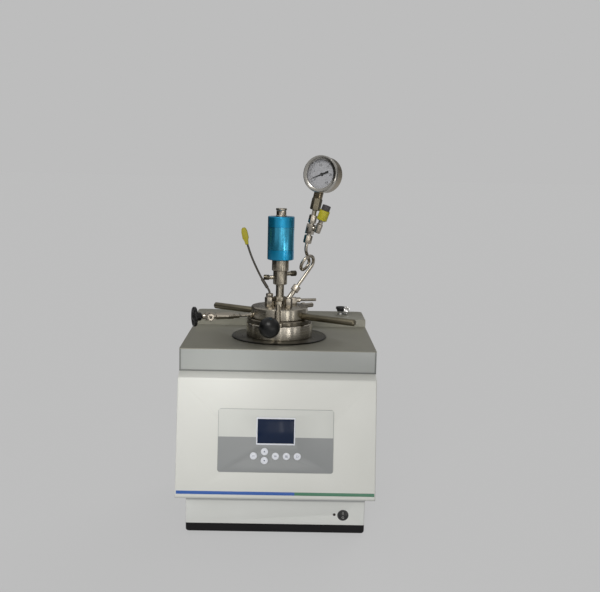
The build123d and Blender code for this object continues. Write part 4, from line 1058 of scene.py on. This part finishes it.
SCALE_START, SCALE_SWEEP, TICK_END = 225, 270, 0.0262
ticks = []
for step in range(51):
    angle = math.radians(SCALE_START - SCALE_SWEEP * step / 50)
    inner, wide = (0.0218, 0.00064) if step % 10 == 0 else (0.0236, 0.00040)
    bpy.ops.object.select_all(action="DESELECT")
    bpy.ops.mesh.primitive_plane_add(size=1.0)
    tick = bpy.context.object
    tick.data.transform(
        Matrix.Rotation(angle, 4, "Z")
        @ Matrix.Translation(((inner + TICK_END) / 2, 0, 0))
        @ Matrix.Diagonal((TICK_END - inner, wide, 1, 1))
    )
    ticks.append(tick)
arc = []
for step in range(90):
    first, second = (math.radians(SCALE_START - 3 * (step + end)) for end in (0, 1))
    middle, half_wide = (first + second) / 2, 0.0264 * math.sin(math.radians(1.5))
    bpy.ops.object.select_all(action="DESELECT")
    bpy.ops.mesh.primitive_plane_add(size=1.0)
    piece = bpy.context.object
    piece.data.transform(
        Matrix.Rotation(middle, 4, "Z")
        @ Matrix.Translation((0.0263, 0, 0))
        @ Matrix.Diagonal((0.00022, 2.02 * half_wide, 1, 1))
    )
    arc.append(piece)
PRINT_THICK = 0.00005
scale = joined("dial_scale", ticks + arc)
thickened(scale, PRINT_THICK)
placed(scale, DIAL, dial_ink, "frame")

NUMBER_RADIUS = 0.0180
numbers = []
for step in range(6):
    angle = math.radians(SCALE_START - 54 * step)
    bpy.ops.object.text_add(location=(0, 0, 0))
    number = bpy.context.object
    number.data.body = str(5 * step)
    number.data.size = 0.0062
    number.data.align_x = "CENTER"
    number.data.align_y = "CENTER"
    bpy.ops.object.convert(target="MESH")
    number = bpy.context.object
    number.data.transform(
        Matrix.Translation((NUMBER_RADIUS * math.cos(angle), NUMBER_RADIUS * math.sin(angle), 0))
    )
    numbers.append(number)
figures = joined("dial_numbers", numbers)
thickened(figures, PRINT_THICK)
placed(figures, DIAL, dial_ink, "frame")

pointer_paint, shader, place = finish("pointer_paint")
tone = clouds(place, 3.0)
tone.blend(seen(8, 8, 9), seen(16, 16, 17)).into(shader.inputs["Base Color"])
(0.4 + 0.15 * tone).into(shader.inputs["Roughness"])
dressed("gauge_pointer", pointer_paint)

window, shader, place = finish("gauge_window", IOR=1.45)
shader.inputs["Base Color"].default_value = (0.3, 0.31, 0.31, 1)
smear = clouds(place, 12.0, 4.0)
(0.05 + 0.06 * smear).into(shader.inputs["Roughness"])
(0.03 + 0.03 * smear).into(shader.inputs["Alpha"])
dressed("gauge_glass", window, edge=0.3)


# ---- socket on the rear platform -------------------------------------------------------------
# Black tapered connector body on a bright foot, with its bright screw cap hanging beside it.
socket_shell, shader, place = finish("socket_shell")
x, y, z = place.axes()
cap = (x > 0.1370) * (y < 0.1630)
lower = (z < 0.3775) * (1.0 - cap)
bright = cap.maths("MAXIMUM", cap, lower)
tone = clouds(place, 5.0, 3.0)
black = tone.blend(seen(22, 22, 23), seen(36, 36, 37))
chrome = tone.blend(seen(222, 222, 222), seen(200, 200, 200))
bright.blend(black, chrome).into(shader.inputs["Base Color"])
(1.0 * bright).into(shader.inputs["Metallic"])
(0.38 + 0.12 * tone - 0.28 * bright).into(shader.inputs["Roughness"])
dressed("platform_socket", socket_shell, edge=0.25)
